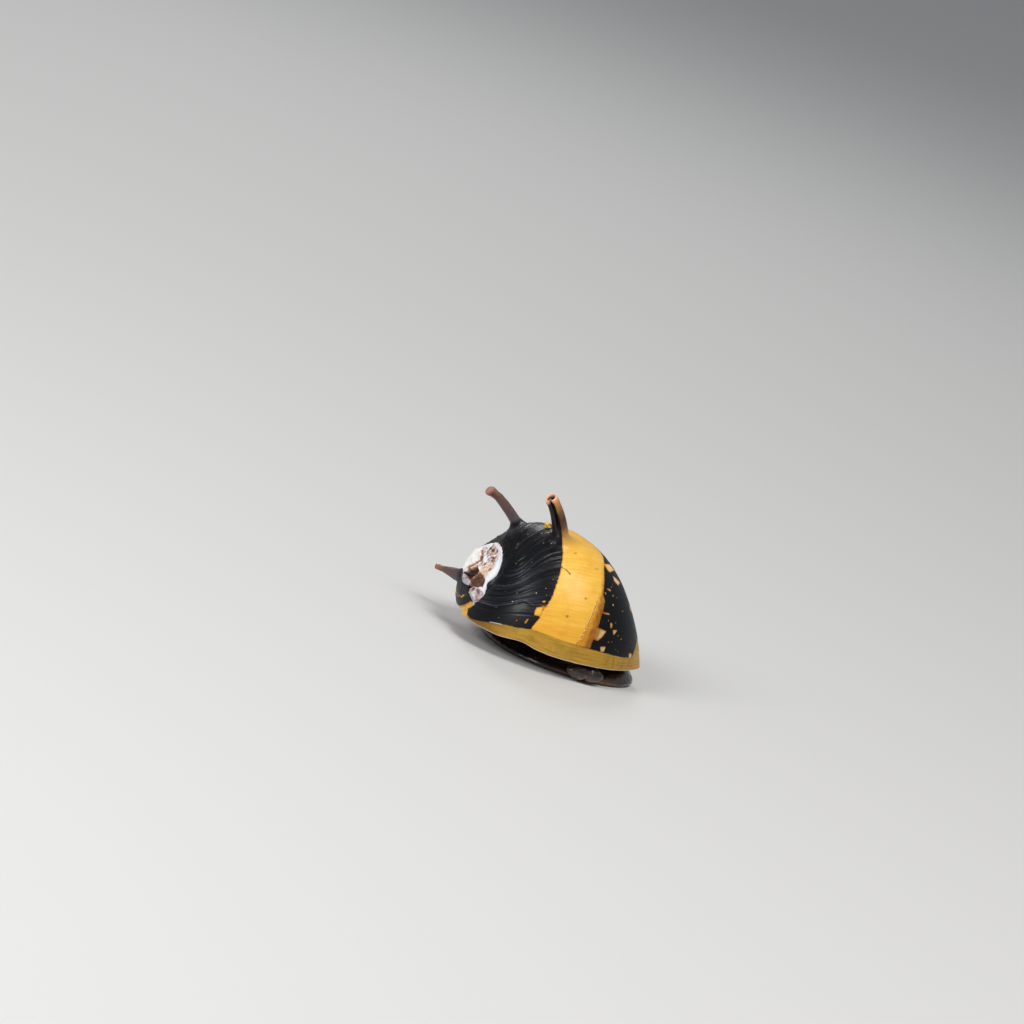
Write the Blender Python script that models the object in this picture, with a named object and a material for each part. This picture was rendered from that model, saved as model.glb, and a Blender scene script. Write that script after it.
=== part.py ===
"""A horned nerite snail, crawling, life size.

The shell follows one growth law. Its lip, a D seen from above, is turned and shrunk about the
coiling axis for every earlier moment of growth, so one outline gives the whole body whorl. The
snail stands on the floor, z = 0. It heads towards -Y, and its apex points to its right, -X.
"""
from math import atan2, cos, exp, pi, radians, sin, sqrt

import bmesh
import bpy
from mathutils import Matrix, Vector
from mathutils.bvhtree import BVHTree

MM = 0.001
GAP = 0.3 * MM                      # kept between pieces that touch
FAR = 60 * MM                       # longer than anything here


def at(x, y, z=0.0):
    """A place given in millimetres."""
    return Vector((x, y, z)) * MM


# The shell's growth
LIP_HEIGHT = 1.4 * MM               # of the shell's edge above the floor
GROWTH = 0.159                      # of its size, in each radian of coiling
AXIS_TILT = radians(20.2)           # the apex's end of the axis points up by this
AXIS = Vector((-cos(AXIS_TILT), 0, sin(AXIS_TILT)))
POLE = at(-6.3, 0.32, 4.43)
OLDEST_TURN = -5.4 * pi

# The lip's outline, a D turned against the axis
LIP_TURN = radians(-38.8)
LIP_APICAL = 6.3 * MM
LIP_ABAPICAL = 7.2 * MM
LIP_FRONT = 7.9 * MM
LIP_REAR = 3.7 * MM
FRONT_FULLNESS = 2.05
REAR_FULLNESS = 2.3
CORNER_BLEND = 0.25                 # how softly one quarter of the D runs into the next

# The outer form of the whole shell
HEART = at(-0.4, -0.4, 1.4)         # the middle of its flat underside
SWELL_MIDDLE = at(0.3, 0.9, 1.4)    # the body whorl's swelling behind the aperture
SWELL_SIZE = at(5.7, 5.2, 5.4)
SWELL_BLEND = 1.2 * MM
HOLLOW_MIDDLE = at(-4.95, 2.2, 6.7)  # a shallow hollow between the apex and the middle horn
HOLLOW_RADIUS = 1.5 * MM
HOLLOW_DEPTH = 0.35 * MM
REAR_ROUNDING = 1.3 * MM            # of the lower edge where it is no lip
DOME_SEGMENTS = 72
DOME_RINGS = 26
SHOULDER = radians(-122.4)          # the horns' place on the lip
LIP_TO_AXIS = 8 * MM                # about how far the lip lies from the axis

# The shell's sub-parts
MARGIN_TURN = 0.163                 # growth since the pale margin began
MARGIN_REAR = -1.6 * MM             # where the margin's two ends are
WALL = 0.65 * MM
APERTURE_ROOF = 2.65 * MM
DECK_EDGE = 1.6 * MM                # the aperture's straight inner edge
APERTURE_END = -4.4 * MM            # and its end below the apex
TIP_RADIUS = 0.9 * MM               # of the oldest whorls, worn flat
TIP_RISE = 0.1 * MM
SCAR_MIDDLE = at(-5.84, 0.51, 4.86)  # of the white patch where the apex is worn
SCAR_FACING = Vector((-0.919, 0.009, 0.394)).normalized()
SCAR_LENGTHWAYS = Vector((0.148, 0.935, 0.324))
SCAR_HALF_LENGTH = 2.55 * MM
SCAR_HALF_WIDTH = 1.87 * MM
SCAR_RAGGED = 0.05                  # of its radius, in and out
SCAR_LOBE = 0.15                    # of its radius: a tongue at its lower front end
SCAR_LOBE_PLACE = radians(155)
SCAR_LOBE_SPREAD = 0.24
SCAR_DEPTH = 0.8 * MM
SCAR_PROUD = 0.1 * MM
STUB_TURN = -1.95                   # a broken horn's small stump
STUB_SIZE = at(0.26, 0.3, 0.26)
STUB_SINK = 0.1 * MM

# The horns: growth since they were made, rise from the axis, lean to the apex, bend, waist, tip
HORNS = {
    "horn_front": (-1.38, 2.2 * MM, 3.1 * MM, 0.5 * MM, 0.54 * MM, 0.42 * MM),
    "horn_middle": (-2.50, 1.19 * MM, 3.41 * MM, 0.35 * MM, 0.42 * MM, 0.40 * MM),
    "horn_rear": (-3.74, 2.34 * MM, 1.33 * MM, 0.0 * MM, 0.48 * MM, 0.27 * MM),
}
HORN_ROOT = 1.0 * MM
HORN_SINK = 0.9 * MM
HORN_STEPS = 12

# The foot
FOOT_MIDDLE = at(1.15, -0.35)
FOOT_HALF_WIDTH = 5.5 * MM
FOOT_HALF_LENGTH = 6.1 * MM
FOOT_FULLNESS = 2.5
TAIL_NARROWING = 0.2                # of the foot's width, at its end
FOOT_TOP = 1.05 * MM
FOOT_SEGMENTS = 48
FOOT_FRONT_CUT = -3.2 * MM
FOOT_REAR_CUT = 2.2 * MM
TAIL_TOP = 0.32 * MM

# The head and what grows from it
HEAD_MIDDLE = at(0.9, -5.55, 1.58)
HEAD_SIZE = at(1.75, 1.2, 0.72)
SNOUT_MIDDLE = at(0.9, -6.82, 0.7)
SNOUT_SIZE = at(1.45, 0.66, 0.58)
SNOUT_CUT = at(0.9, -6.52, 1.08)
SNOUT_CUT_NORMAL = Vector((0, 0.75, 0.66)).normalized()
MOUTH_MIDDLE = at(0.9, -7.44, 0.28)
MOUTH_SIZE = at(0.62, 0.4, 0.18)
TENTACLE_ROOT = at(1.0, -0.4, -0.05)  # each from the middle of the head, on the snail's left
TENTACLE_BEND = at(2.15, -0.6, 0)
TENTACLE_TIP = at(2.35, 0.35, 0)
TENTACLE_RADIUS = 0.27 * MM
TENTACLE_STEPS = 10
STALK_ROOT = at(0.8, 0.45, 0.25)
STALK_TIP = at(1.85, 0.8, 0.38)
STALK_RADIUS = 0.26 * MM
EYE_RADIUS = 0.27 * MM
MANTLE_FRONT = -4.0 * MM
LID_THICKNESS = 0.45 * MM           # of the lid that the tail carries


def clear_scene():
    for thing in list(bpy.data.objects):
        bpy.data.objects.remove(thing, do_unlink=True)


def collection(name):
    group = bpy.data.collections.new(name)
    bpy.context.scene.collection.children.link(group)
    return group


def material(name, colour, roughness):
    finish = bpy.data.materials.new(name)
    finish.use_nodes = True
    shader = finish.node_tree.nodes["Principled BSDF"]
    shader.inputs["Base Color"].default_value = (*colour, 1)
    shader.inputs["Roughness"].default_value = roughness
    shader.inputs["Metallic"].default_value = 0
    return finish


def add_object(name, form, group, finish=None):
    """Turns a bmesh into a named object, its faces outwards."""
    bmesh.ops.recalc_face_normals(form, faces=form.faces)
    mesh = bpy.data.meshes.new(name)
    form.to_mesh(mesh)
    form.free()
    mesh.shade_smooth()
    mesh.set_sharp_from_angle(angle=radians(40))
    thing = bpy.data.objects.new(name, mesh)
    group.objects.link(thing)
    if finish:
        mesh.materials.append(finish)
    else:
        thing.hide_render = True
        thing.display_type = "WIRE"
    return thing


def combine(thing, other, operation):
    change = thing.modifiers.new(other.name, "BOOLEAN")
    change.operation = operation
    change.object = other
    change.solver = "EXACT"


def keep_side(form, point, normal):
    """Cuts a closed form by a plane and keeps what lies against the normal."""
    everything = list(form.verts) + list(form.edges) + list(form.faces)
    bmesh.ops.bisect_plane(form, geom=everything, plane_co=point, plane_no=normal, clear_outer=True)
    rim = [edge for edge in form.edges if edge.is_boundary]
    bmesh.ops.contextual_create(form, geom=rim)


def softly(low, high, side):
    """Low where side is well below zero, high where it is well above."""
    return low + (high - low) / (1 + exp(-2 * side / CORNER_BLEND))


def lip_reach(angle):
    """How far the lip lies from its middle, in a direction seen from above."""
    along = cos(angle - LIP_TURN)
    across = sin(angle - LIP_TURN)
    half_length = softly(LIP_APICAL, LIP_ABAPICAL, along)
    half_width = softly(LIP_FRONT, LIP_REAR, across)
    fullness = softly(FRONT_FULLNESS, REAR_FULLNESS, across)
    share = abs(along / half_length) ** fullness + abs(across / half_width) ** fullness
    return share ** (-1 / fullness)


def growth_step(turn):
    """The rotation that carries the lip back to an earlier turn of growth."""
    return Matrix.Rotation(-turn, 3, AXIS)


def grown(turn, angle):
    """The lip's point at an angle, as it lay at an earlier turn of growth."""
    reach = lip_reach(angle)
    edge = Vector((reach * cos(angle), reach * sin(angle), LIP_HEIGHT))
    return POLE + exp(GROWTH * turn) * (growth_step(turn) @ (edge - POLE))


def growth_tree():
    """The whole coiled surface, ready to be met by rays."""
    sheet = bmesh.new()
    bmesh.ops.create_grid(sheet, x_segments=300, y_segments=72, size=1)
    for vert in sheet.verts:
        turn = OLDEST_TURN * (0.5 - 0.5 * vert.co.x)
        vert.co = grown(turn, pi * vert.co.y)
    tree = BVHTree.FromBMesh(sheet)
    sheet.free()
    return tree


def swell_reach(direction):
    """Distance from the heart to the swelling, an ellipsoid around it."""
    start = Vector(a / b for a, b in zip(HEART - SWELL_MIDDLE, SWELL_SIZE))
    step = Vector(a / b for a, b in zip(direction, SWELL_SIZE))
    half = start.dot(step)
    square = step.dot(step)
    return (sqrt(half * half - square * (start.dot(start) - 1)) - half) / square


def shell_reach(tree, direction):
    """Distance from the heart to the shell's outer face."""
    hit = tree.ray_cast(HEART + direction * FAR, -direction)[0]
    coiled = (hit - HEART).length if hit else 0
    swollen = swell_reach(direction)
    overlap = max(SWELL_BLEND - abs(coiled - swollen), 0) / SWELL_BLEND
    reach = max(coiled, swollen) + overlap * overlap * SWELL_BLEND / 4
    from_hollow = (HEART + direction * reach - HOLLOW_MIDDLE).length / HOLLOW_RADIUS
    reach -= HOLLOW_DEPTH * exp(-from_hollow * from_hollow)
    facing = direction.dot(AXIS)
    if facing > 0.5:
        worn = (POLE + AXIS * TIP_RISE - HEART).dot(AXIS) / facing
        from_axis = HEART + direction * worn - POLE
        from_axis -= AXIS * from_axis.dot(AXIS)
        if from_axis.length < TIP_RADIUS:
            return worn
    return reach


def rounding(direction):
    """How far the lower edge is drawn in, from nothing at the lip to the full rounding behind."""
    rearward = direction.y + 0.25 * direction.x
    share = min(max((rearward + 0.05) / 0.6, 0), 1)
    return REAR_ROUNDING * share * share * (3 - 2 * share)


def dome(tree, inset=0.0, floor=LIP_HEIGHT):
    """The shell's outer form as one closed dome, made smaller by an inset."""
    form = bmesh.new()
    bmesh.ops.create_uvsphere(form, u_segments=DOME_SEGMENTS, v_segments=2 * DOME_RINGS, radius=1)
    low = [vert for vert in form.verts if vert.co.z < -0.001]
    bmesh.ops.delete(form, geom=low, context="VERTS")
    for vert in form.verts:
        is_rim = vert.co.z < 0.001
        direction = Vector((vert.co.x, vert.co.y, max(vert.co.z, 0.01))).normalized()
        place = direction * (shell_reach(tree, direction) - inset)
        flat = Vector((direction.x, direction.y, 0))
        radius = rounding(flat.normalized()) if flat.length > 0 else 0
        height = place.z
        if height < radius:
            drop = radius - height
            place -= flat.normalized() * (radius - sqrt(radius * radius - drop * drop))
        vert.co = HEART + place
        if is_rim:
            vert.co.z = floor
    rim = [edge for edge in form.edges if edge.is_boundary]
    bmesh.ops.contextual_create(form, geom=rim)
    return form


def wedge(group, name, growth, rear):
    """A block below an earlier growth plane and in front of a line: the room for the margin."""
    form = bmesh.new()
    size = 20 * MM
    bmesh.ops.create_cube(form, size=2 * size)
    place = Matrix.Translation((0, rear - size, 0))
    bmesh.ops.transform(form, matrix=place, verts=form.verts)
    normal = growth_step(-growth) @ Vector((0, 0, 1))
    edge = POLE + exp(-GROWTH * growth) * (growth_step(-growth) @ (at(0, -7, 1.4) - POLE))
    keep_side(form, edge, normal)
    return add_object(name, form, group)


def scar_plug(group, name, spare):
    """A ragged oval plug through the worn apex, wider and deeper by what is to spare."""
    form = bmesh.new()
    depth = SCAR_DEPTH + spare
    sideways = SCAR_FACING.cross(SCAR_LENGTHWAYS)
    bmesh.ops.create_cone(form, cap_ends=True, segments=36, depth=2 * depth, radius1=1, radius2=1)
    for vert in form.verts:
        around = atan2(vert.co.y, vert.co.x)
        oval = 1 / sqrt((cos(around) / SCAR_HALF_LENGTH) ** 2 + (sin(around) / SCAR_HALF_WIDTH) ** 2)
        ragged = 1 + SCAR_RAGGED * (0.6 * sin(3 * around + 1) + 0.4 * sin(7 * around))
        ragged += SCAR_LOBE * exp(-((around - SCAR_LOBE_PLACE) / SCAR_LOBE_SPREAD) ** 2)
        radius = oval * ragged + spare
        across = SCAR_LENGTHWAYS * cos(around) + sideways * sin(around)
        vert.co = SCAR_MIDDLE + across * radius + SCAR_FACING * vert.co.z
    return add_object(name, form, group)


def ball(middle, size, segments=24, rings=14):
    form = bmesh.new()
    bmesh.ops.create_uvsphere(form, u_segments=segments, v_segments=rings, radius=1)
    bmesh.ops.scale(form, vec=size, verts=form.verts)
    bmesh.ops.translate(form, vec=middle, verts=form.verts)
    return form


def tube(path, radii, sides=12):
    """A closed tube along a path, with its own radius at every point."""
    form = bmesh.new()
    rings = []
    for index, (place, radius) in enumerate(zip(path, radii)):
        ahead = path[min(index + 1, len(path) - 1)] - path[max(index - 1, 0)]
        facing = ahead.to_track_quat("Z", "Y").to_matrix().to_4x4()
        matrix = Matrix.Translation(place) @ facing
        made = bmesh.ops.create_circle(form, segments=sides, radius=radius, matrix=matrix)
        rings.append(list({edge for vert in made["verts"] for edge in vert.link_edges}))
    for low, high in zip(rings, rings[1:]):
        bmesh.ops.bridge_loops(form, edges=low + high)
    for ring in (rings[0], rings[-1]):
        bmesh.ops.contextual_create(form, geom=ring)
    return form


def bent_path(start, middle, end, steps):
    """Points along a quadratic curve."""
    shares = [step / steps for step in range(steps + 1)]
    return [start * (1 - t) ** 2 + middle * 2 * t * (1 - t) + end * t * t for t in shares]


def make_shell(model, cutters, tree):
    black = material("shell_black", (0.02, 0.02, 0.025), 0.25)
    amber = material("margin_amber", (0.55, 0.33, 0.07), 0.3)
    bone = material("worn_white", (0.75, 0.66, 0.58), 0.6)

    aperture = dome(tree, WALL, LIP_HEIGHT - 1 * MM)
    keep_side(aperture, at(0, 0, 0) + Vector((0, 0, APERTURE_ROOF)), Vector((0, 0, 1)))
    keep_side(aperture, Vector((0, DECK_EDGE, 0)), Vector((0, 1, 0)))
    keep_side(aperture, Vector((APERTURE_END, 0, 0)), Vector((-1, 0, 0)))
    aperture = add_object("aperture_cutter", aperture, cutters)

    half_gap = GAP / LIP_TO_AXIS / 2
    margin_room = wedge(cutters, "margin_room", MARGIN_TURN - half_gap, MARGIN_REAR - GAP / 2)
    margin_gap = wedge(cutters, "margin_gap", MARGIN_TURN + half_gap, MARGIN_REAR + GAP / 2)

    scar_room = scar_plug(cutters, "scar_room", 0)
    scar_pocket = scar_plug(cutters, "scar_pocket", GAP)

    whorl = add_object("shell_body_whorl", dome(tree), model, black)
    stub_place = grown(STUB_TURN, SHOULDER)
    stub_place -= (stub_place - HEART).normalized() * STUB_SINK
    stub = add_object("broken_horn", ball(stub_place, STUB_SIZE, 10, 6), cutters)
    combine(whorl, stub, "UNION")
    combine(whorl, margin_gap, "DIFFERENCE")
    combine(whorl, aperture, "DIFFERENCE")
    combine(whorl, scar_pocket, "DIFFERENCE")

    lip = add_object("shell_lip", dome(tree), model, amber)
    combine(lip, margin_room, "INTERSECT")
    combine(lip, aperture, "DIFFERENCE")

    apex = add_object("shell_apex", dome(tree, -SCAR_PROUD), model, bone)
    combine(apex, scar_room, "INTERSECT")


def make_horns(model, cutters, tree):
    horn_brown = material("horn_brown", (0.16, 0.1, 0.09), 0.35)
    clearance = add_object("shell_clearance", dome(tree, -GAP), cutters)
    for name, (turn, rise, lean, bend, waist, tip_radius) in HORNS.items():
        base = grown(turn, SHOULDER)
        from_axis = base - POLE
        outward = (from_axis - AXIS * from_axis.dot(AXIS)).normalized()
        tip = base + outward * rise + AXIS * lean
        elbow = base + (tip - base) * 0.45 + outward * bend
        root = base - (elbow - base).normalized() * HORN_SINK
        path = bent_path(root, elbow, tip, HORN_STEPS)
        radii = []
        for step in range(HORN_STEPS + 1):
            share = step / HORN_STEPS
            flare = (HORN_ROOT - waist) * max(1 - 2.2 * share, 0) ** 2
            radii.append(waist + (tip_radius - waist) * share + flare)
        path.append(tip + (path[-1] - path[-2]).normalized() * tip_radius * 0.6)
        radii.append(tip_radius * 0.6)
        horn = add_object(name, tube(path, radii, 14), model, horn_brown)
        combine(horn, clearance, "DIFFERENCE")


def foot_form():
    """The sole and sides of the foot: one rounded outline, drawn in as it rises."""
    form = bmesh.new()
    rings = []
    for height, inset in ((0, 0.25), (0.22, 0), (0.55, 0.1), (0.85, 0.45), (1.05, 1.0)):
        made = bmesh.ops.create_circle(form, segments=FOOT_SEGMENTS, radius=1)["verts"]
        for vert in made:
            unit = (abs(vert.co.x) ** FOOT_FULLNESS + abs(vert.co.y) ** FOOT_FULLNESS)
            unit = unit ** (-1 / FOOT_FULLNESS)
            narrowed = 1 - TAIL_NARROWING * max(unit * vert.co.y, 0) ** 1.5
            vert.co.x *= unit * (FOOT_HALF_WIDTH - inset * MM) * narrowed
            vert.co.y *= unit * (FOOT_HALF_LENGTH - inset * MM)
            vert.co += FOOT_MIDDLE + at(0, 0, height)
        rings.append(list({edge for vert in made for edge in vert.link_edges}))
    for low, high in zip(rings, rings[1:]):
        bmesh.ops.bridge_loops(form, edges=low + high)
    for ring in (rings[0], rings[-1]):
        bmesh.ops.contextual_create(form, geom=ring)
    return form


def make_body(model, cutters, tree):
    skin = material("skin_dark", (0.03, 0.022, 0.02), 0.35)
    pearl = material("eye_black", (0.01, 0.01, 0.012), 0.1)
    horn_plate = material("lid_horn", (0.22, 0.13, 0.08), 0.4)
    ahead = Vector((0, -1, 0))

    head_room = add_object("head_room", ball(HEAD_MIDDLE, HEAD_SIZE + at(0.3, 0.3, 0.3)), cutters)
    snout_room = add_object("snout_room", ball(SNOUT_MIDDLE, SNOUT_SIZE + at(0.3, 0.3, 0.3)), cutters)

    front = foot_form()
    keep_side(front, Vector((0, FOOT_FRONT_CUT - GAP / 2, 0)), -ahead)
    front = add_object("foot_front", front, model, skin)
    combine(front, head_room, "DIFFERENCE")
    combine(front, snout_room, "DIFFERENCE")
    middle = foot_form()
    keep_side(middle, Vector((0, FOOT_FRONT_CUT + GAP / 2, 0)), ahead)
    keep_side(middle, Vector((0, FOOT_REAR_CUT - GAP / 2, 0)), -ahead)
    add_object("foot_middle", middle, model, skin)
    tail = foot_form()
    keep_side(tail, Vector((0, FOOT_REAR_CUT + GAP / 2, 0)), ahead)
    keep_side(tail, Vector((0, 0, TAIL_TOP)), Vector((0, 0, 1)))
    add_object("foot_tail", tail, model, skin)

    lid = foot_form()
    keep_side(lid, Vector((0, FOOT_REAR_CUT + GAP, 0)), ahead)
    keep_side(lid, at(0, 0, 0.25), Vector((0, 0, -1)))
    keep_side(lid, at(0, 0, 0.8), Vector((0, 0, 1)))
    low = TAIL_TOP + GAP
    for vert in lid.verts:
        vert.co.x = FOOT_MIDDLE.x + (vert.co.x - FOOT_MIDDLE.x) * 0.72
        vert.co.y = FOOT_REAR_CUT + GAP + (vert.co.y - FOOT_REAR_CUT - GAP) * 0.9
        vert.co.z = low + (vert.co.z - 0.25 * MM) / (0.55 * MM) * LID_THICKNESS
    add_object("operculum", lid, model, horn_plate)

    mantle = dome(tree, WALL + GAP, FOOT_TOP + GAP)
    keep_side(mantle, Vector((0, 0, APERTURE_ROOF - GAP)), Vector((0, 0, 1)))
    keep_side(mantle, Vector((0, DECK_EDGE - GAP, 0)), Vector((0, 1, 0)))
    keep_side(mantle, Vector((APERTURE_END + GAP, 0, 0)), Vector((-1, 0, 0)))
    keep_side(mantle, Vector((0, MANTLE_FRONT, 0)), ahead)
    add_object("mantle", mantle, model, skin)

    head = add_object("head", ball(HEAD_MIDDLE, HEAD_SIZE), model, skin)
    snout_ball = ball(SNOUT_MIDDLE, SNOUT_SIZE)
    keep_side(snout_ball, SNOUT_CUT, SNOUT_CUT_NORMAL)
    snout = add_object("snout", snout_ball, model, skin)
    combine(snout, head_room, "DIFFERENCE")
    mouth = ball(MOUTH_MIDDLE, MOUTH_SIZE, 16, 8)
    combine(snout, add_object("mouth_cutter", mouth, cutters), "DIFFERENCE")

    for name, side in (("left", 1), ("right", -1)):
        mirror = Matrix.Diagonal((side, 1, 1))
        bend = [HEAD_MIDDLE + mirror @ spot for spot in (TENTACLE_ROOT, TENTACLE_BEND, TENTACLE_TIP)]
        path = bent_path(*bend, TENTACLE_STEPS)
        radii = [TENTACLE_RADIUS * (1 - 0.45 * step / TENTACLE_STEPS) for step in range(TENTACLE_STEPS + 1)]
        tentacle = add_object("tentacle_" + name, tube(path, radii, 10), model, skin)
        combine(tentacle, head_room, "DIFFERENCE")
        root = HEAD_MIDDLE + mirror @ STALK_ROOT
        end = HEAD_MIDDLE + mirror @ STALK_TIP
        stalk = tube([root, (root + end) / 2, end], [STALK_RADIUS] * 3, 10)
        stalk = add_object("eyestalk_" + name, stalk, model, skin)
        combine(stalk, head_room, "DIFFERENCE")
        facing = (end - root).normalized()
        eye = ball(end + facing * GAP, at(1, 1, 1) * (EYE_RADIUS / MM), 12, 8)
        keep_side(eye, end + facing * GAP, -facing)
        add_object("eye_" + name, eye, model, pearl)


def build_model():
    clear_scene()
    model = collection("horned_nerite")
    cutters = collection("cutters")
    tree = growth_tree()
    make_shell(model, cutters, tree)
    make_horns(model, cutters, tree)
    make_body(model, cutters, tree)


build_model()
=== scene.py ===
# %% [markdown]
# # A horned nerite snail, life size
#
# This file dresses a packed model of a small freshwater snail. The packed model holds the true
# sizes and places. The cells below make what the eye sees: the ribbed shell with its golden band,
# the worn apex, the hollow horns and the wet dark skin.
#
# The first cell loads the packed model.

# %% Load the packed model
from math import atan2, cos, degrees, exp, hypot, pi, radians, sin, sqrt

import bmesh
import bpy
from mathutils import Matrix, Vector, noise
from mathutils.bvhtree import BVHTree


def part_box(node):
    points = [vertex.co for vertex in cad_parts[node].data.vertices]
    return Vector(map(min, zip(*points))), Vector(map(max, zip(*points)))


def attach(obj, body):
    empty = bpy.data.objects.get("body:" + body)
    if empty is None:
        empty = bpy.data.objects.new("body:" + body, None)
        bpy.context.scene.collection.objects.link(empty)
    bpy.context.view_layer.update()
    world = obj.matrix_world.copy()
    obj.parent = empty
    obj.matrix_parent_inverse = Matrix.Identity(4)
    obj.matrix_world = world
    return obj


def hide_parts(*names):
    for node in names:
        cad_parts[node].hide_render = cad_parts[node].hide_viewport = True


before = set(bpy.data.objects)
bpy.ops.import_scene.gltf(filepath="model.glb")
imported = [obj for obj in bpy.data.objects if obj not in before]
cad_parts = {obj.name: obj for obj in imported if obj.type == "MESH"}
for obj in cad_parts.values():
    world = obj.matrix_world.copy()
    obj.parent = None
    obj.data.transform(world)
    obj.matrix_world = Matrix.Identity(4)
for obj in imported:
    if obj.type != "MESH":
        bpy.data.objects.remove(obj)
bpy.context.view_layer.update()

MM = 0.001


def at(x, y, z=0.0):
    """A place given in millimetres."""
    return Vector((x, y, z)) * MM


def new_object(name, data):
    made = bpy.data.objects.new(name, data)
    bpy.context.scene.collection.objects.link(made)
    return made


print("nodes:", ", ".join(sorted(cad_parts)))

# %% [markdown]
# ## The camera
#
# The snail is seen from low down at its right front, a little rolled, because it crawls on a
# slope. A long lens far away keeps the small shell free of distortion. The camera could be aimed
# with a Track To constraint, but a roll is easier to state when the three axes are written down.

# %% Camera
LENS = 250                          # the sensor's units: millimetres of a 36 mm wide sensor
VIEW_AZIMUTH = radians(-23.632)
VIEW_HEIGHT = radians(10.39)
VIEW_ROLL = radians(19.642)
SEEN_WIDTH = 71.86 * MM             # of the picture, at the snail
AIM_RIGHT = -2.293 * MM             # from the lip's middle to the picture's middle
AIM_UP = 8.336 * MM


def make_camera():
    data = bpy.data.cameras.new("camera")
    data.lens = LENS
    camera = new_object("camera", data)
    level = cos(VIEW_HEIGHT)
    back = Vector((sin(VIEW_AZIMUTH) * level, -cos(VIEW_AZIMUTH) * level, sin(VIEW_HEIGHT)))
    right = Vector((cos(VIEW_AZIMUTH), sin(VIEW_AZIMUTH), 0))
    above = back.cross(right)
    across = right * cos(VIEW_ROLL) + above * sin(VIEW_ROLL)
    upwards = above * cos(VIEW_ROLL) - right * sin(VIEW_ROLL)
    distance = SEEN_WIDTH * LENS / data.sensor_width
    turned = Matrix((across, upwards, back)).transposed().to_4x4()
    aim = at(0, 0, 1.4) + across * AIM_RIGHT + upwards * AIM_UP
    camera.matrix_world = Matrix.Translation(aim + back * distance) @ turned
    data.clip_start = distance / 100
    data.clip_end = distance * 100
    bpy.context.scene.camera = camera
    return distance


print("camera distance in m:", round(make_camera(), 3))

# %% [markdown]
# ## Helpers
#
# Every piece starts as a bmesh, is shaped, and becomes an object at the origin that rides on the
# one body of the model. A sheet gets its thickness from Solidify. `bridge` makes a tube from rings
# of any shape, which is how horns, feelers and eye stalks grow.

# %% Helpers for pieces
def thicken(piece, thickness, thin):
    """Gives a sheet its wall, down to a quarter where its layer named by thin says 1."""
    wall = piece.modifiers.new("wall", "SOLIDIFY")
    wall.thickness = thickness
    wall.offset = -1
    if thin:
        group = piece.vertex_groups.new(name="wall")
        for vert, value in zip(piece.data.vertices, piece.data.attributes[thin].data):
            group.add([vert.index], 1 - value.value, "REPLACE")
        wall.vertex_group = group.name
        wall.thickness_vertex_group = 0.25


def finish_piece(name, form, finish, nodes=(), outwards=True, wall=0.0, thin=None):
    """Turns a bmesh into a piece that rides on the body and stands for packed nodes."""
    if outwards:
        bmesh.ops.recalc_face_normals(form, faces=form.faces)
    mesh = bpy.data.meshes.new(name)
    form.to_mesh(mesh)
    form.free()
    mesh.shade_smooth()
    mesh.materials.append(finish)
    piece = new_object(name, mesh)
    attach(piece, "root")
    if nodes:
        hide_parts(*nodes)
    if wall:
        thicken(piece, wall, thin)
    print(name, "has", len(mesh.polygons), "faces")
    return piece


def new_grid(columns, rows, vectors=(), numbers=()):
    """A flat grid from -1 to 1, and a layer for each value that its points will carry."""
    form = bmesh.new()
    layers = [form.verts.layers.float_vector.new(title) for title in vectors]
    layers += [form.verts.layers.float.new(title) for title in numbers]
    bmesh.ops.create_grid(form, x_segments=columns, y_segments=rows, size=1)
    return form, layers


def new_ring(form, sides):
    return bmesh.ops.create_circle(form, segments=sides, radius=1)["verts"]


def edges_of(verts):
    """The edges that join a ring's own vertices."""
    ring = set(verts)
    return [edge for edge in {e for v in verts for e in v.link_edges} if set(edge.verts) <= ring]


def bridge(form, rings):
    """Joins rings of vertices into one tube and closes its ends."""
    loops = [edges_of(ring) for ring in rings]
    for low, high in zip(loops, loops[1:]):
        bmesh.ops.bridge_loops(form, edges=low + high)
    for loop in (loops[0], loops[-1]):
        bmesh.ops.contextual_create(form, geom=loop)


def weld(form):
    bmesh.ops.remove_doubles(form, verts=form.verts, dist=0.001 * MM)


def turn_faces(form, way):
    """Turns a sheet over if it looks against the way that a function gives for its points."""
    form.normal_update()
    if sum(vert.normal.dot(way(vert.co)) for vert in form.verts) < 0:
        bmesh.ops.reverse_faces(form, faces=form.faces)
        form.normal_update()


def between(low, high, share):
    return low + (high - low) * share


def bezier(start, middle, end, share):
    return start * (1 - share) ** 2 + middle * 2 * share * (1 - share) + end * share * share


def ramp(value, low, high):
    """From 0 at low to 1 at high, with soft ends."""
    share = min(max((value - low) / (high - low), 0), 1)
    return share * share * (3 - 2 * share)


def bump_at(distance, radius):
    return exp(-(distance / radius) ** 2)


def wander(seed, *places):
    """A smooth random value between about -1 and 1."""
    spot = Vector((*places, 0, 0)[:3])
    return noise.noise(spot + Vector((seed * 7.31, seed * 3.17, seed * 5.73)))


print("halfway up a soft ramp:", ramp(0.5, 0, 1))

# %% [markdown]
# ## The shell's growth law
#
# A snail adds shell only at its lip, and the lip keeps its shape while it grows and turns about
# one axis. So a point of the shell is given by two numbers: the turn of growth at which it was
# made, and the place round the lip. With them the whole shell is one formula, and growth lines,
# bands and horns fall into place by themselves. The shape could be sculpted instead, but then no
# mark would follow the growth. The values repeat the solid model's.

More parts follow.
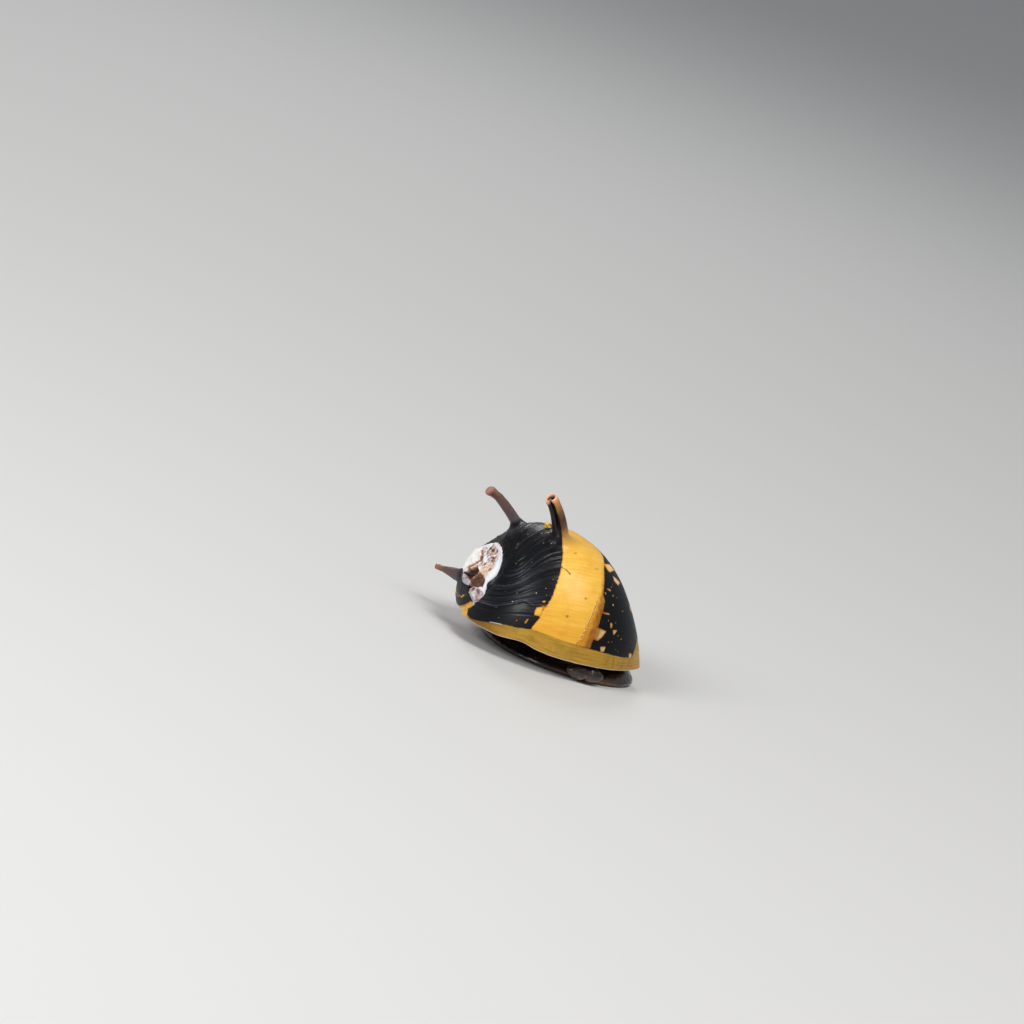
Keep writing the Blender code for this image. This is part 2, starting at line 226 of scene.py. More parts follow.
# %% Growth law
LIP_HEIGHT = 1.4 * MM               # of the shell's edge above the floor
GROWTH = 0.159                      # of its size, in each radian of coiling
AXIS_TILT = radians(20.2)
AXIS = Vector((-cos(AXIS_TILT), 0, sin(AXIS_TILT)))
POLE = at(-6.3, 0.32, 4.43)
LIP_TURN = radians(-38.8)
LIP_APICAL = 6.3 * MM
LIP_ABAPICAL = 7.2 * MM
LIP_FRONT = 7.9 * MM
LIP_REAR = 3.7 * MM
FRONT_FULLNESS = 2.05
REAR_FULLNESS = 2.3
CORNER_BLEND = 0.25
HEART = at(-0.4, -0.4, 1.4)
SWELL_MIDDLE = at(0.3, 0.9, 1.4)
SWELL_SIZE = at(5.7, 5.2, 5.4)
SWELL_BLEND = 1.2 * MM
HOLLOW_MIDDLE = at(-4.95, 2.2, 6.7)
HOLLOW_RADIUS = 1.5 * MM
HOLLOW_DEPTH = 0.35 * MM
REAR_ROUNDING = 1.3 * MM


def softly(low, high, side):
    return low + (high - low) / (1 + exp(-2 * side / CORNER_BLEND))


def lip_reach(angle):
    """How far the lip lies from its middle, in a direction seen from above."""
    along = cos(angle - LIP_TURN)
    across = sin(angle - LIP_TURN)
    half_length = softly(LIP_APICAL, LIP_ABAPICAL, along)
    half_width = softly(LIP_FRONT, LIP_REAR, across)
    fullness = softly(FRONT_FULLNESS, REAR_FULLNESS, across)
    share = abs(along / half_length) ** fullness + abs(across / half_width) ** fullness
    return share ** (-1 / fullness)


def grown(turn, angle):
    """A place of the lip, as it lay at an earlier (negative) turn of growth."""
    reach = lip_reach(angle)
    edge = Vector((reach * cos(angle), reach * sin(angle), LIP_HEIGHT))
    return POLE + exp(GROWTH * turn) * (Matrix.Rotation(-turn, 3, AXIS) @ (edge - POLE))


def swell_reach(direction):
    """How far the swelling behind reaches from the shell's heart."""
    start = Vector(a / b for a, b in zip(HEART - SWELL_MIDDLE, SWELL_SIZE))
    step = Vector(a / b for a, b in zip(direction, SWELL_SIZE))
    half = start.dot(step)
    square = step.dot(step)
    return (sqrt(half * half - square * (start.dot(start) - 1)) - half) / square


def shell_place(turn, angle):
    """A point of the shell's outer face, swollen behind and rounded at its rear lower edge."""
    place = grown(turn, angle) - HEART
    coiled = place.length
    direction = place / coiled
    swollen = swell_reach(direction)
    overlap = max(SWELL_BLEND - abs(coiled - swollen), 0) / SWELL_BLEND
    reach = max(coiled, swollen) + overlap * overlap * SWELL_BLEND / 4
    from_hollow = (HEART + direction * reach - HOLLOW_MIDDLE).length
    reach -= HOLLOW_DEPTH * bump_at(from_hollow, HOLLOW_RADIUS)
    place = direction * reach
    flat = Vector((direction.x, direction.y, 0)).normalized()
    radius = REAR_ROUNDING * ramp(flat.y + 0.25 * flat.x, -0.05, 0.55)
    if place.z < radius:
        drop = min(radius - place.z, radius)
        place -= flat * (radius - sqrt(radius * radius - drop * drop))
    return HEART + place


print("front of the lip in mm:", [round(v / MM, 2) for v in shell_place(0, radians(-90))])

# %% [markdown]
# ## The shell's sculpture
#
# Along each old lip runs a growth line. On the black part they stand up as fine uneven ribs, on
# the golden band they are hardly there. A bump map could fake them, but they are what makes this
# shell look like a shell, so they are real relief: every row of the mesh is one lip, and a few
# noises of the turn lift it or lower it.

# %% Sculpture
SHOULDER = radians(-122.4)          # the row of horns, and the band's left border
RIB_HEIGHT = 0.052 * MM
DEGREE = 0.122                      # millimetres along the newest lip for one degree
TURN = 7.1                          # millimetres of growth for one radian
BROAD_RIBS, MIDDLE_RIBS, FINE_RIBS = 19, 44, 105    # waves in each radian of growth
LEDGES = 15                         # in each radian of growth
LEDGE_DROP, LEDGE_FOOT = 0.11, 0.03   # millimetres above and below the strongest ledge
WOBBLE = 0.015 * MM                 # slow waves of the whole shell
# Strong old edges: turn, height in millimetres
STEP_LINES = [(-0.344, -0.03), (-0.926, -0.05), (-1.07, -0.05), (-1.694, 0.05)]
STEP_WIDTH = 0.010
# The strongest one of all: degrees of the lip, turn
LEDGE = [(-200, -0.52), (-166, -0.47), (-158.5, -0.422), (-151, -0.374), (-145.7, -0.41),
         (-139.3, -0.445), (-135.2, -0.488), (-130.4, -0.44), (-126, -0.453), (-122, -0.46), (90, -0.46)]


def lip_mm(angle):
    """An angle round the lip as millimetres along the newest lip."""
    return degrees(angle) * DEGREE


def along_line(points, place):
    """The height of a line that is given by its points, and level before its first point."""
    place = max(place, points[0][0])
    for (low, first), (high, second) in zip(points, points[1:]):
        if low <= place <= high:
            return between(first, second, (place - low) / (high - low))


def lag(turn, angle):
    """How far the lip's edge waved back from its plain shape, left of the horns."""
    bulge = 0.28 * bump_at(angle + radians(150), radians(14)) * bump_at(turn + 0.9, 0.5)
    past = min(max(radians(-155) - angle, 0) / radians(15), 1)
    return bulge - 0.6 * past * past * ramp(-turn, 1.2, 1.7)


def rib_strength(turn, angle):
    """Ribs are strong on the black left part and faint on the band and right of it."""
    left = 1 - ramp(angle, SHOULDER - 0.07, SHOULDER + 0.03)
    young = between(0.10, 1, ramp(-turn, 0.42, 0.50))
    rough = 0.75 + 0.5 * bump_at(turn + 0.9, 0.45)
    tucked = between(0.10, 1, ramp(angle, radians(-182), radians(-158)))
    oldest = 1 - 0.8 * ramp(-turn, 4.2, 4.9)
    return between(0.08, 1, left) * young * rough * tucked * oldest


def relief(turn, angle):
    """Height of the sculpture above the plain shell."""
    line = turn - lag(turn, angle)
    drift = 0.25 * wander(1, 1.6 * angle, 2 * line)
    broad = wander(2, BROAD_RIBS * line + drift, 0.9 * angle)
    middle = abs(wander(3, MIDDLE_RIBS * line + 2 * drift, 1.5 * angle))
    fine = wander(4, FINE_RIBS * line + 4 * drift, 2.6 * angle)
    ribs = 0.8 * broad + 0.8 * (0.3 - middle) + 0.5 * fine
    # Ledges rise slowly and break off towards the newer shell
    phase = LEDGES * line + 1.2 * wander(31, 1.3 * angle, 1.5 * line)
    broken = phase % 1
    ribs += 2.0 * max(0.25 + wander(32, 1.7 * (phase - broken), 2.4 * angle), 0) * broken ** 3
    height = RIB_HEIGHT * ribs * rib_strength(turn, angle)
    left = angle < SHOULDER
    for place, rise in STEP_LINES:
        away = (line - place - 0.008 * wander(5, 4 * angle, 9 * place)) / STEP_WIDTH
        height += rise * MM * exp(-away * away) * between(0.15, 1, left)
    past_ledge = turn - along_line(LEDGE, degrees(angle)) - 0.006 * wander(33, 14 * angle)
    drop = LEDGE_DROP * exp(past_ledge / 0.03) if past_ledge < 0 else -LEDGE_FOOT * exp(-past_ledge / 0.05)
    height += drop * MM * between(0.1, 1, left) * ramp(-turn, 0.0, 0.2)
    return height + WOBBLE * wander(6, 2.5 * turn, 2.5 * angle)


print("tallest rib in mm:", round(max(relief(-1 - 0.004 * i, -2.4) for i in range(200)) / MM, 3))

# %% [markdown]
# ## Where the shell is golden
#
# The band runs between two places of the lip that never change, so on the grown shell it widens
# by itself. Round it lie flecks where the black was left out. All of this is kept on the mesh as
# one number, the distance in millimetres into the gold, and the material draws its ragged border
# where that number passes zero. A painted picture would do, but it would blur at this size.

# %% Golden band and flecks
BAND_RIGHT = radians(-91.9)
LATE_WIDENING = radians(2.2)        # of the band's right side, in the youngest growth
LATE_LEFT = radians(1.5)            # how far its left side then moves out
OLD_SHIFT = radians(4)              # of a side, for a while, in older growth
CALLUS_START, CALLUS_END = -5.75, -4.4  # turns between which the lip ends on the older whorl
DOT_REACH = 0.3                     # millimetres, more than any dot's radius
STAIN_RADIUS = 0.14
GRAIN_RADIUS = 0.06
# Flecks of gold, by their corners on the unrolled shell: millimetres of lip, millimetres of growth
FLECKS = [
    [(-11.05, -7.81), (-10.08, -8.36), (-9.38, -8.06), (-10.52, -7.11), (-10.86, -7.31)],
    [(-10.2, -7.01), (-9.75, -7.04), (-8.91, -6.95), (-9.45, -6.33), (-10.02, -6.49)],
    [(-11.05, -5.47), (-10.66, -5.62), (-10.45, -5.48), (-10.62, -5.34)],
    [(-11.21, -5.15), (-11.03, -5.19), (-10.88, -5.02), (-11.04, -4.96)],
    [(-7.39, -5.45), (-6.95, -5.62), (-6.62, -5.25), (-7.1, -4.95)],
    [(-10.97, -3.69), (-10.3, -3.73), (-10.31, -3.59), (-10.83, -3.54)],
    [(-10.09, -3.17), (-9.76, -3.11), (-9.69, -2.78), (-9.88, -2.74)],
    [(-9.63, -2.69), (-9.09, -2.81), (-9.3, -2.36), (-9.43, -2.36)],
    [(-11.59, -2.34), (-10.95, -2.57), (-10.12, -2.48), (-10.34, -1.99), (-10.61, -1.65), (-11.38, -1.89)],
    [(-10.26, -1.41), (-9.72, -1.49), (-9.72, -1.12), (-9.99, -1.0)],
    [(-6.92, -1.41), (-6.34, -1.41), (-6.28, -1.0), (-6.7, -0.9)],
    [(-11.69, -4.81), (-10.92, -4.45), (-11.05, -4.08), (-11.24, -3.87), (-11.61, -4.17)],
    [(-15.57, -3.05), (-15.1, -3.3), (-15.08, -2.41), (-15.47, -2.42), (-15.57, -2.79)],
    [(-15.44, -3.57), (-15.26, -3.72), (-15.1, -3.56), (-15.33, -3.45)],
    [(-15.76, -2.14), (-15.6, -2.05), (-15.6, -1.71), (-15.66, -1.55), (-15.78, -1.67)],
    [(-16.47, -1.89), (-16.34, -1.86), (-16.1, -1.63), (-16.21, -1.6)],
    [(-16.47, -1.26), (-16.37, -1.28), (-16.11, -1.08), (-16.24, -1.0)],
]
BLACK_WEDGE = [(-15.52, -2.33), (-15.02, -2.36), (-15.11, -1.79), (-15.32, -1.81)]
# Round dots of gold: the same two millimetres, and a radius
DOTS = [
    (-10.25, -6.1, 0.07), (-10.44, -5.8, 0.07), (-10.22, -5.14, 0.10), (-9.72, -5.16, 0.08),
    (-8.45, -6.0, 0.05), (-10.11, -4.43, 0.11), (-9.92, -4.7, 0.05), (-8.92, -5.29, 0.04),
    (-8.76, -4.95, 0.04), (-9.11, -4.52, 0.07), (-8.79, -4.33, 0.09), (-10.28, -3.21, 0.07),
    (-9.49, -3.24, 0.06), (-8.79, -1.43, 0.08), (-8.39, -1.35, 0.07), (-8.88, -2.41, 0.07),
    (-8.43, -2.24, 0.08), (-8.06, -2.31, 0.06), (-9.68, -1.8, 0.07), (-9.36, -1.87, 0.06),
    (-6.81, -2.32, 0.09), (-6.06, -1.97, 0.11), (-6.09, -3.9, 0.08), (-6.96, -3.33, 0.07),
    (-16.65, -2.56, 0.05), (-16.39, -2.18, 0.05), (-17.47, -1.58, 0.06), (-17.3, -9.0, 0.06),
    (-15.85, -9.34, 0.09), (-17.53, -12.61, 0.11), (-19.68, -15.3, 0.08), (-16.2, -11.6, 0.06),
]
# Brown dots on the gold
BROWN_DOTS = [
    (-15.35, -1.10), (-15.02, -1.02), (-14.70, -1.05), (-14.30, -0.98), (-13.92, -1.00), (-13.42, -0.95),
    (-12.6, -4.3), (-13.4, -2.8), (-12.0, -6.9), (-13.9, -8.1),
]
# Tiny pale grains that stick to the shell
GRAINS = [
    (-17.7, -5.59), (-15.39, -7.8), (-15.43, -6.39), (-15.3, -5.48), (-15.57, -4.69), (-15.28, -4.13),
    (-17.68, -8.68), (-16.46, -9.75), (-15.94, -10.53), (-16.45, -11.39), (-19.82, -12.3), (-19.91, -5.47),
    (-18.47, -4.66), (-17.35, -4.27), (-16.04, -4.26), (-20.59, -8.29), (-17.3, -7.7), (-16.08, -7.15),
    (-18.03, -8.75), (-18.73, -8.68), (-15.39, -1.48), (-17.3, -3.33), (-15.9, -3.32), (-18.2, -2.6),
    (-17.0, -1.02), (-17.15, -1.0), (-17.3, -0.98), (-17.45, -0.95), (-17.6, -0.92), (-17.75, -0.88),
]
# Where black ends above the newest growth: degrees of the lip, turn
MARGIN_LINE = [
    (-192, -0.36), (-176, -0.30), (-169, -0.19), (-164, -0.06), (-159, -0.035), (-154, -0.063),
    (-149, -0.097), (-144.5, -0.126), (-140, -0.148), (-136, -0.163), (-131.6, -0.162), (-127.6, -0.176),
    (-124, -0.19), (-115.6, -0.178), (-104, -0.16), (-86.7, -0.154), (-73.7, -0.146), (-62, -0.141),
    (-51, -0.153), (-46.5, -0.30), (-41, -0.44), (-35, -0.40), (-28, -0.20), (-10, -0.15), (30, -0.16),
]


def inside(corners, across, along):
    """How deep a place lies within an outline, negative outside it."""
    closest, within = 9.0, False
    for (ax, ay), (bx, by) in zip(corners, corners[1:] + corners[:1]):
        wide, tall = bx - ax, by - ay
        share = ((across - ax) * wide + (along - ay) * tall) / (wide * wide + tall * tall)
        share = min(max(share, 0), 1)
        closest = min(closest, hypot(across - ax - share * wide, along - ay - share * tall))
        if (ay > along) != (by > along) and across < ax + (along - ay) * wide / tall:
            within = not within
    return closest if within else -closest


def near(corners, across, along, reach=1.8):
    return abs(corners[0][0] - across) < reach and abs(corners[0][1] - along) < reach


def dot_depth(dots, turn, angle, radius):
    """How deep a place lies within the nearest of some equal dots."""
    across, along = lip_mm(angle), turn * TURN
    return radius - min(hypot(x - across, y - along) for x, y in dots)


def old_gold(turn, angle):
    """The golden callus where the lip ends on the older whorl, and a worn patch above it."""
    from_callus = degrees(angle) + 135 - 7 * (turn + 4.94)
    patch = 0.5 * wander(34, 6 * turn, 30 * angle) + 0.3 * wander(35, 19 * turn, 60 * angle)
    return max(0.06 * from_callus, 0.35 * (patch + 0.12 - abs(from_callus + 11) / 9))


def gold_depth(turn, angle):
    """Distance into the golden colour, in millimetres, negative on the black."""
    across, along = lip_mm(angle), turn * TURN
    ragged = 0.05 * wander(7, 11 * turn) + 0.035 * wander(8, 37 * turn, 4 * angle)
    left_border = SHOULDER - LATE_LEFT * ramp(turn, -0.6, -0.3) + OLD_SHIFT * ramp(-turn, 1.5, 1.9)
    right_border = BAND_RIGHT + OLD_SHIFT * ramp(-turn, 0.95, 1.35) * (1 - ramp(-turn, 1.35, 1.6))
    right_border += LATE_WIDENING * ramp(turn, -0.70, -0.62)
    right = lip_mm(right_border - angle) + 0.05 * wander(9, 11 * turn) + 0.035 * wander(8, 53 * turn)
    depth = min(lip_mm(angle - left_border) + ragged, right)
    for corners in FLECKS:
        if near(corners, across, along):
            depth = max(depth, inside(corners, across, along))
    if near(BLACK_WEDGE, across, along):
        depth = min(depth, -inside(BLACK_WEDGE, across, along))
    for x, y, radius in DOTS:
        if abs(x - across) < DOT_REACH:
            depth = max(depth, radius - hypot(x - across, y - along))
    if CALLUS_START < turn < CALLUS_END:
        depth = max(depth, old_gold(turn, angle))
    hidden = bump_at(angle + radians(20), radians(50)) * ramp(-turn, 0.5, 0.8)
    speckle = wander(10, 17 * turn, 6 * angle) - 0.78 + 0.28 * hidden
    return max(depth, 0.3 * speckle) * exp(GROWTH * turn)


def margin_line(angle):
    """The turn at which the black ends, at a place of the lip."""
    line = along_line(MARGIN_LINE, degrees(angle))
    return line + 0.005 * wander(18, 9 * angle) + 0.003 * wander(19, 33 * angle)


def olive_depth(turn, angle):
    """Distance in millimetres into the newest growth, where the black hasn't been laid."""
    return (turn - margin_line(angle)) * TURN


def stain(turn, angle):
    """How brown the gold is: a strip at the band's right border, and some dots."""
    across, along = lip_mm(angle), turn * TURN
    past_border = lip_mm(angle - BAND_RIGHT - LATE_WIDENING)
    strip = ramp(past_border, -0.55 - 0.06 * wander(36, 2 * along), -0.40) * ramp(turn, -1.15, -0.75)
    strip *= 0.75 + 0.6 * wander(37, 3 * along, 8 * across)
    return min(max(strip, 9 * dot_depth(BROWN_DOTS, turn, angle, STAIN_RADIUS), 0), 1)


def grain_depth(turn, angle):
    return dot_depth(GRAINS, turn, angle, GRAIN_RADIUS)


print("gold in the band:", round(gold_depth(-0.8, radians(-107)), 2), "mm deep")

# %% [markdown]
# ## Materials
#
# The shell is porcelain-smooth under a thin skin, so its black is a glossy dark brown that picks up
# blue from the lamps, with painted blue-grey highlights on its rib crests and painted shade in its
# grooves, and its gold lets a little light in. Colours differ along the growth lines.
# `Paint` mixes a material: each of its methods adds a node and hands back what the node gives.
# The shell's nodes read two sets of numbers that every shell mesh carries: the growth coordinates,
# in millimetres, and the distances into its marks.

# %% Helpers for materials
class Paint:
    """A material and its shader, with constants set on the shader's own sockets."""

    def __init__(self, name, roughness, **constants):
        self.material = bpy.data.materials.new(name)
        self.material.use_nodes = True
        self.tree = self.material.node_tree
        self.shader = self.tree.nodes["Principled BSDF"]
        self.give("Roughness", roughness)
        for socket, value in constants.items():
            self.give(socket.replace("_", " "), value)

    def feed(self, socket, value):
        """Links what another node gives, or sets a fixed number, vector or colour."""
        if isinstance(value, bpy.types.NodeSocket):
            self.tree.links.new(value, socket)
        elif isinstance(value, tuple) and len(socket.default_value) == 4:
            socket.default_value = (*value, 1)
        else:
            socket.default_value = value

    def give(self, socket, value):
        self.feed(self.shader.inputs[socket], value)

    def node(self, kind, inputs, **settings):
        made = self.tree.nodes.new("ShaderNode" + kind)
        for name, value in settings.items():
            setattr(made, name, value)
        for socket, value in inputs.items():
            self.feed(made.inputs[socket], value)
        return made

    def math(self, operation, *values):
        return self.node("Math", dict(enumerate(values)), operation=operation).outputs[0]

    def scaled(self, value, factor, added=0.0):
        return self.math("MULTIPLY_ADD", value, factor, added)

    def mark(self, name, output="Fac"):
        """Numbers that the mesh carries."""
        return self.node("Attribute", {}, attribute_name=name).outputs[output]

    def place(self):
        return self.node("TexCoord", {}).outputs["Object"]

    def split(self, vector):
        return self.node("SeparateXYZ", {0: vector}).outputs

    def ahead(self, vector, start, way):
        """How far a vector lies beyond a start, in one direction."""
        away = self.node("VectorMath", {0: vector, 1: start}, operation="SUBTRACT").outputs[0]
        return self.node("VectorMath", {0: away, 1: way}, operation="DOT_PRODUCT").outputs["Value"]

    def noise(self, vector, scale, detail, roughness=0.6):
        """A cloudy value; a scale of three numbers stretches it."""
        if isinstance(scale, tuple):
            vector = self.node("Mapping", {"Vector": vector, "Scale": scale}).outputs[0]
            scale = 1.0
        inputs = {"Vector": vector, "Scale": scale, "Detail": detail, "Roughness": roughness}
        return self.node("TexNoise", inputs).outputs["Fac"]

    def tints(self, value, *stops):
        """A colour ramp. Each stop is a place and a colour, or one number for a grey."""
        stops = [(spot, (*tint, 1) if isinstance(tint, tuple) else (tint, tint, tint, 1))
                 for spot, tint in stops]
        made = self.node("ValToRGB", {"Fac": value})
        band = made.color_ramp.elements
        for end, (spot, tint) in zip((band[0], band[1]), (stops[0], stops[-1])):
            end.position, end.color = spot, tint
        for spot, tint in stops[1:-1]:
            band.new(spot).color = tint
        return made.outputs["Color"]

    def cover(self, base, *layers):
        """Lays tints over a base: each layer is its share, its tint, and its blend if not plain."""
        for share, tint, *blend in layers:
            made = self.node("Mix", {}, data_type="RGBA", blend_type=blend[0] if blend else "MIX")
            for socket, value in ((0, share), (6, base), (7, tint)):
                self.feed(made.inputs[socket], value)
            base = made.outputs[2]
        return base

    def bump(self, height, distance, strength):
        inputs = {"Height": height, "Distance": distance, "Strength": strength}
        self.give("Normal", self.node("Bump", inputs).outputs["Normal"])


def cloudy_finish(name, roughness, scale, detail, stops, bump=0.0, **constants):
    """A plain material whose tint varies in clouds."""
    paint = Paint(name, roughness, **constants)
    clouds = paint.noise(paint.place(), scale, detail)
    paint.give("Base Color", paint.tints(clouds, *stops))
    if bump:
        paint.bump(clouds, bump, 0.5)
    return paint.material


print("paint can:", ", ".join(name for name in vars(Paint) if name[0] != "_"))

# %% Shell material
STRIP_START = at(-4.47, -11.63)     # in growth coordinates: growth, lip
STRIP_SIDE = (0.0885, 1, 0)
CRACK_START = at(-6.75, -15.0)
CRACK_WAY, CRACK_SIDE = (0.66, 0.75, 0), (-0.75, 0.66, 0)
# The black by the relief's height: near black as painted shade in the grooves, slate to blue-grey as painted
# highlights on the crests
BLACK_SHADE_AND_SHEEN_STOPS = [(0.15, (0.0012, 0.0012, 0.0018)), (0.42, (0.004, 0.004, 0.0055)),
               (0.65, (0.024, 0.026, 0.036)), (0.95, (0.12, 0.13, 0.17))]
GOLD_STOPS = [(0.28, (0.76, 0.38, 0.040)), (0.5, (0.88, 0.50, 0.070)), (0.72, (0.93, 0.60, 0.12))]
OLIVE_STOPS = [(0.25, (0.30, 0.155, 0.014)), (0.5, (0.44, 0.245, 0.030)), (0.8, (0.60, 0.36, 0.060))]


def strip_layers(paint, growth, broad, blots, grit):
    """A darker strip along the band's right border in young growth, behind a fine chipped line."""
    newest, lip_place = paint.split(growth)[:2]
    aside = paint.math("ADD", paint.ahead(growth, STRIP_START, STRIP_SIDE),
                       paint.scaled(broad, 0.3 * MM, -0.15 * MM))
    age = paint.math("ADD", paint.math("DIVIDE", newest, -6 * MM), paint.scaled(blots, 0.3, -0.15))
    right_of_middle = paint.math("LESS_THAN", lip_place, -10.7 * MM)
    recent = paint.scaled(paint.tints(age, (0.68, 1), (0.84, 0)), right_of_middle)
    strip = paint.scaled(recent, paint.math("GREATER_THAN", aside, 0.0))
    fine_line = paint.scaled(recent, paint.math("COMPARE", aside, 0.0, 0.025 * MM))
    chips = paint.scaled(paint.math("COMPARE", aside, 0.02 * MM, 0.09 * MM),
                         paint.tints(grit, (0.54, 0), (0.62, 0.8)))
    return [(paint.scaled(strip, 0.75), (0.66, 0.50, 0.40), "MULTIPLY"),
            (paint.scaled(fine_line, 0.7), (0.20, 0.07, 0.012)),
            (paint.scaled(chips, recent), (0.90, 0.74, 0.48))]


def crack_share(paint, growth, blots, grit):
    """A crack in the band: a thin waved line, dotted by the grit."""
    waves = paint.scaled(blots, 0.5 * MM, -0.25 * MM)
    along, aside = (paint.math("ADD", paint.ahead(growth, CRACK_START, way), waves)
                    for way in (CRACK_WAY, CRACK_SIDE))
    line = paint.scaled(paint.math("COMPARE", aside, 0.0, 0.045 * MM),
                        paint.math("COMPARE", along, 0.55 * MM, 0.6 * MM))
    return paint.scaled(line, paint.math("GREATER_THAN", grit, 0.44))


def shell_finish():
    paint = Paint("shell_black_and_gold", 0.3, Coat_Weight=0.07, Coat_Roughness=0.12, Specular_IOR_Level=0.20)
    growth = paint.mark("growth", "Vector")
    newest, lip_place, crest = paint.split(growth)
    gold, olive, grain = paint.split(paint.mark("marks", "Vector"))
    lines = paint.noise(growth, (11000, 500, 0), 4)
    broad = paint.noise(growth, (2200, 260, 0), 3)
    blots = paint.noise(growth, (900, 900, 0), 5)
    grit = paint.noise(growth, (9000, 9000, 0), 2)
    ragged = paint.scaled(grit, 0.08, -0.04)
    depth = paint.math("ADD", gold, ragged)
    gold_share = paint.tints(depth, (0.0, 0), (0.02, 1))

    # Black: painted shade in the grooves and painted slate to blue-grey highlights on the crests, by the
    # relief's height; fine lines vary its tone
    black = paint.tints(paint.scaled(crest, 0.24, paint.scaled(lines, 0.6)), *BLACK_SHADE_AND_SHEEN_STOPS)

    # Gold: warm blots, a rust-red rim, brown pits, pale specks as painted glints, its lower part paler,
    # stains
    youth = paint.math("DIVIDE", newest, -5 * MM)
    right_of_band = paint.tints(paint.math("DIVIDE", lip_place, -11 * MM), (0.93, 0.6), (1.0, 0))
    fleck_middle = paint.tints(depth, (0.02, 0), (0.16, 1))
    amber = paint.cover(
        paint.tints(paint.scaled(lines, 0.6, paint.scaled(broad, 0.4)), *GOLD_STOPS),
        (paint.tints(blots, (0.45, 0), (0.8, 0.8)), (0.76, 0.38, 0.035)),
        (0.8, paint.tints(depth, (0.0, (0.42, 0.13, 0.03)), (0.10, 1)), "MULTIPLY"),
        (paint.tints(grit, (0.24, 1), (0.28, 0)), (0.22, 0.09, 0.02)),
        # pale specks: painted highlights, as tiny glints
        (paint.tints(grit, (0.68, 0), (0.71, 0.9)), (0.88, 0.72, 0.42)),
        (paint.tints(youth, (0.3, 0.7), (0.9, 0)), (0.90, 0.76, 0.48), "MULTIPLY"),
        (paint.mark("stain"), (0.30, 0.12, 0.022)),
        (paint.scaled(right_of_band, fleck_middle), (0.95, 0.76, 0.46)),
        *strip_layers(paint, growth, broad, blots, grit),
        (crack_share(paint, growth, blots, grit), (0.03, 0.012, 0.006)))

    # Olive: the newest growth, blotched, browner at its left end, with a painted highlight as a pale line
    # along its glassy edge
    far_left = paint.math("DIVIDE", lip_place, -22 * MM)
    edge = paint.math("GREATER_THAN", newest, -0.035 * MM)
    green = paint.cover(
        paint.tints(lines, *OLIVE_STOPS),
        (paint.tints(blots, (0.5, 0), (0.75, 0.75)), (0.22, 0.125, 0.022)),
        (paint.tints(far_left, (0.72, 0), (0.83, 0.8)), (0.17, 0.065, 0.010)),
        (paint.tints(far_left, (0.885, 0), (0.92, 1)), (0.80, 0.42, 0.085)),
        # a painted highlight: a pale line along the lip's edge
        (paint.scaled(edge, 0.75), (0.78, 0.76, 0.70)))

    # All three, with the grains and the roots of the horns
    front_root = paint.cover((0.010, 0.008, 0.008), (gold_share, (0.52, 0.28, 0.085)))
    base = paint.cover(
        black,
        (gold_share, amber),
        (paint.tints(paint.math("ADD", olive, ragged), (0.0, 0), (0.04, 1)), green),
        (paint.tints(grain, (0.0, 0), (0.02, 1)), (0.62, 0.56, 0.50)),
        (paint.mark("root_front"), front_root),
        (paint.tints(paint.mark("root_other"), (0.35, 0), (0.95, 1)), (0.085, 0.072, 0.088)))
    paint.give("Base Color", base)
    paint.give("Roughness", paint.scaled(gold_share, -0.08, paint.scaled(lines, 0.22, 0.28)))
    paint.bump(lines, 0.010 * MM, 0.7)
    return paint.material


shell_material = shell_finish()
print("shell material has", len(shell_material.node_tree.nodes), "nodes")

# %% [markdown]
# ## The body whorl
#
# The whorl is a sheet whose rows are old lips. It starts as a flat grid, and each of its points
# is moved to its turn and place on the lip. A Screw modifier could coil an outline too, but it
# can't shrink it and keep a separate tilt. The sheet is cut level above the floor, opened where
# the apex is worn through, and given its thickness by Solidify. Three sheets share the work, since
# one alone would have too many faces.

# %% Outline of the worn apex
SCAR_MIDDLE = at(-5.84, 0.51, 4.86)
SCAR_FACING = Vector((-0.919, 0.009, 0.394)).normalized()
SCAR_LENGTHWAYS = Vector((0.148, 0.935, 0.324)).normalized()
SCAR_SIDEWAYS = SCAR_FACING.cross(SCAR_LENGTHWAYS)
# Millimetres from its middle to its edge, every 15 degrees from its rear top, round by the left
SCAR_OUTLINE = [2.52, 2.75, 2.36, 2.47, 2.25, 2.17, 2.14, 1.98, 1.94, 2.50, 3.30, 2.92,
                2.30, 2.25, 2.18, 2.08, 1.96, 1.77, 1.70, 1.68, 1.70, 1.82, 1.97, 2.20]


def scar_radius(around):
    """The ragged outline of the worn apex, in millimetres."""
    step = around / radians(15) % 24
    here = int(step)
    smooth = between(SCAR_OUTLINE[here], SCAR_OUTLINE[(here + 1) % 24], ramp(step - here, 0, 1))
    x, y = cos(around), sin(around)
    return smooth + 0.06 * wander(11, 5 * x, 5 * y) + 0.03 * wander(12, 14 * x, 14 * y)


def in_scar(place):
    """0 in the middle of the worn apex, 1 on its outline."""
    from_middle = (place - SCAR_MIDDLE) / MM
    length, width = from_middle.dot(SCAR_LENGTHWAYS), from_middle.dot(SCAR_SIDEWAYS)
    if abs(from_middle.dot(SCAR_FACING)) > 1.5 or hypot(length, width) > 4:
        return 9.0
    return hypot(length, width) / scar_radius(atan2(width, length))


print("worn apex is", round(SCAR_OUTLINE[0] + SCAR_OUTLINE[12], 1), "mm long")

# %% Sheets of shell
ANGLE_START = radians(-192)         # just under the neighbouring whorl
ANGLE_END = radians(14)
UNDER_WHORL = radians(-180)         # a sheet that starts beyond this ends under the older whorl
TUCK_SHIFT = radians(11)            # its start moves on by this in the youngest growth
TUCK_DEPTH = 0.08                   # and is drawn in by this share of the way to the heart
HORN_SINK = 0.9
TRUMPET_HEIGHT = 0.75 * MM          # of the swelling from which each horn rises
TRUMPET_WIDTH = 0.26 * MM
GRAIN_HEIGHT = 0.03 * MM
SCAR_OPENING = 0.9                  # share of the worn apex that is left open
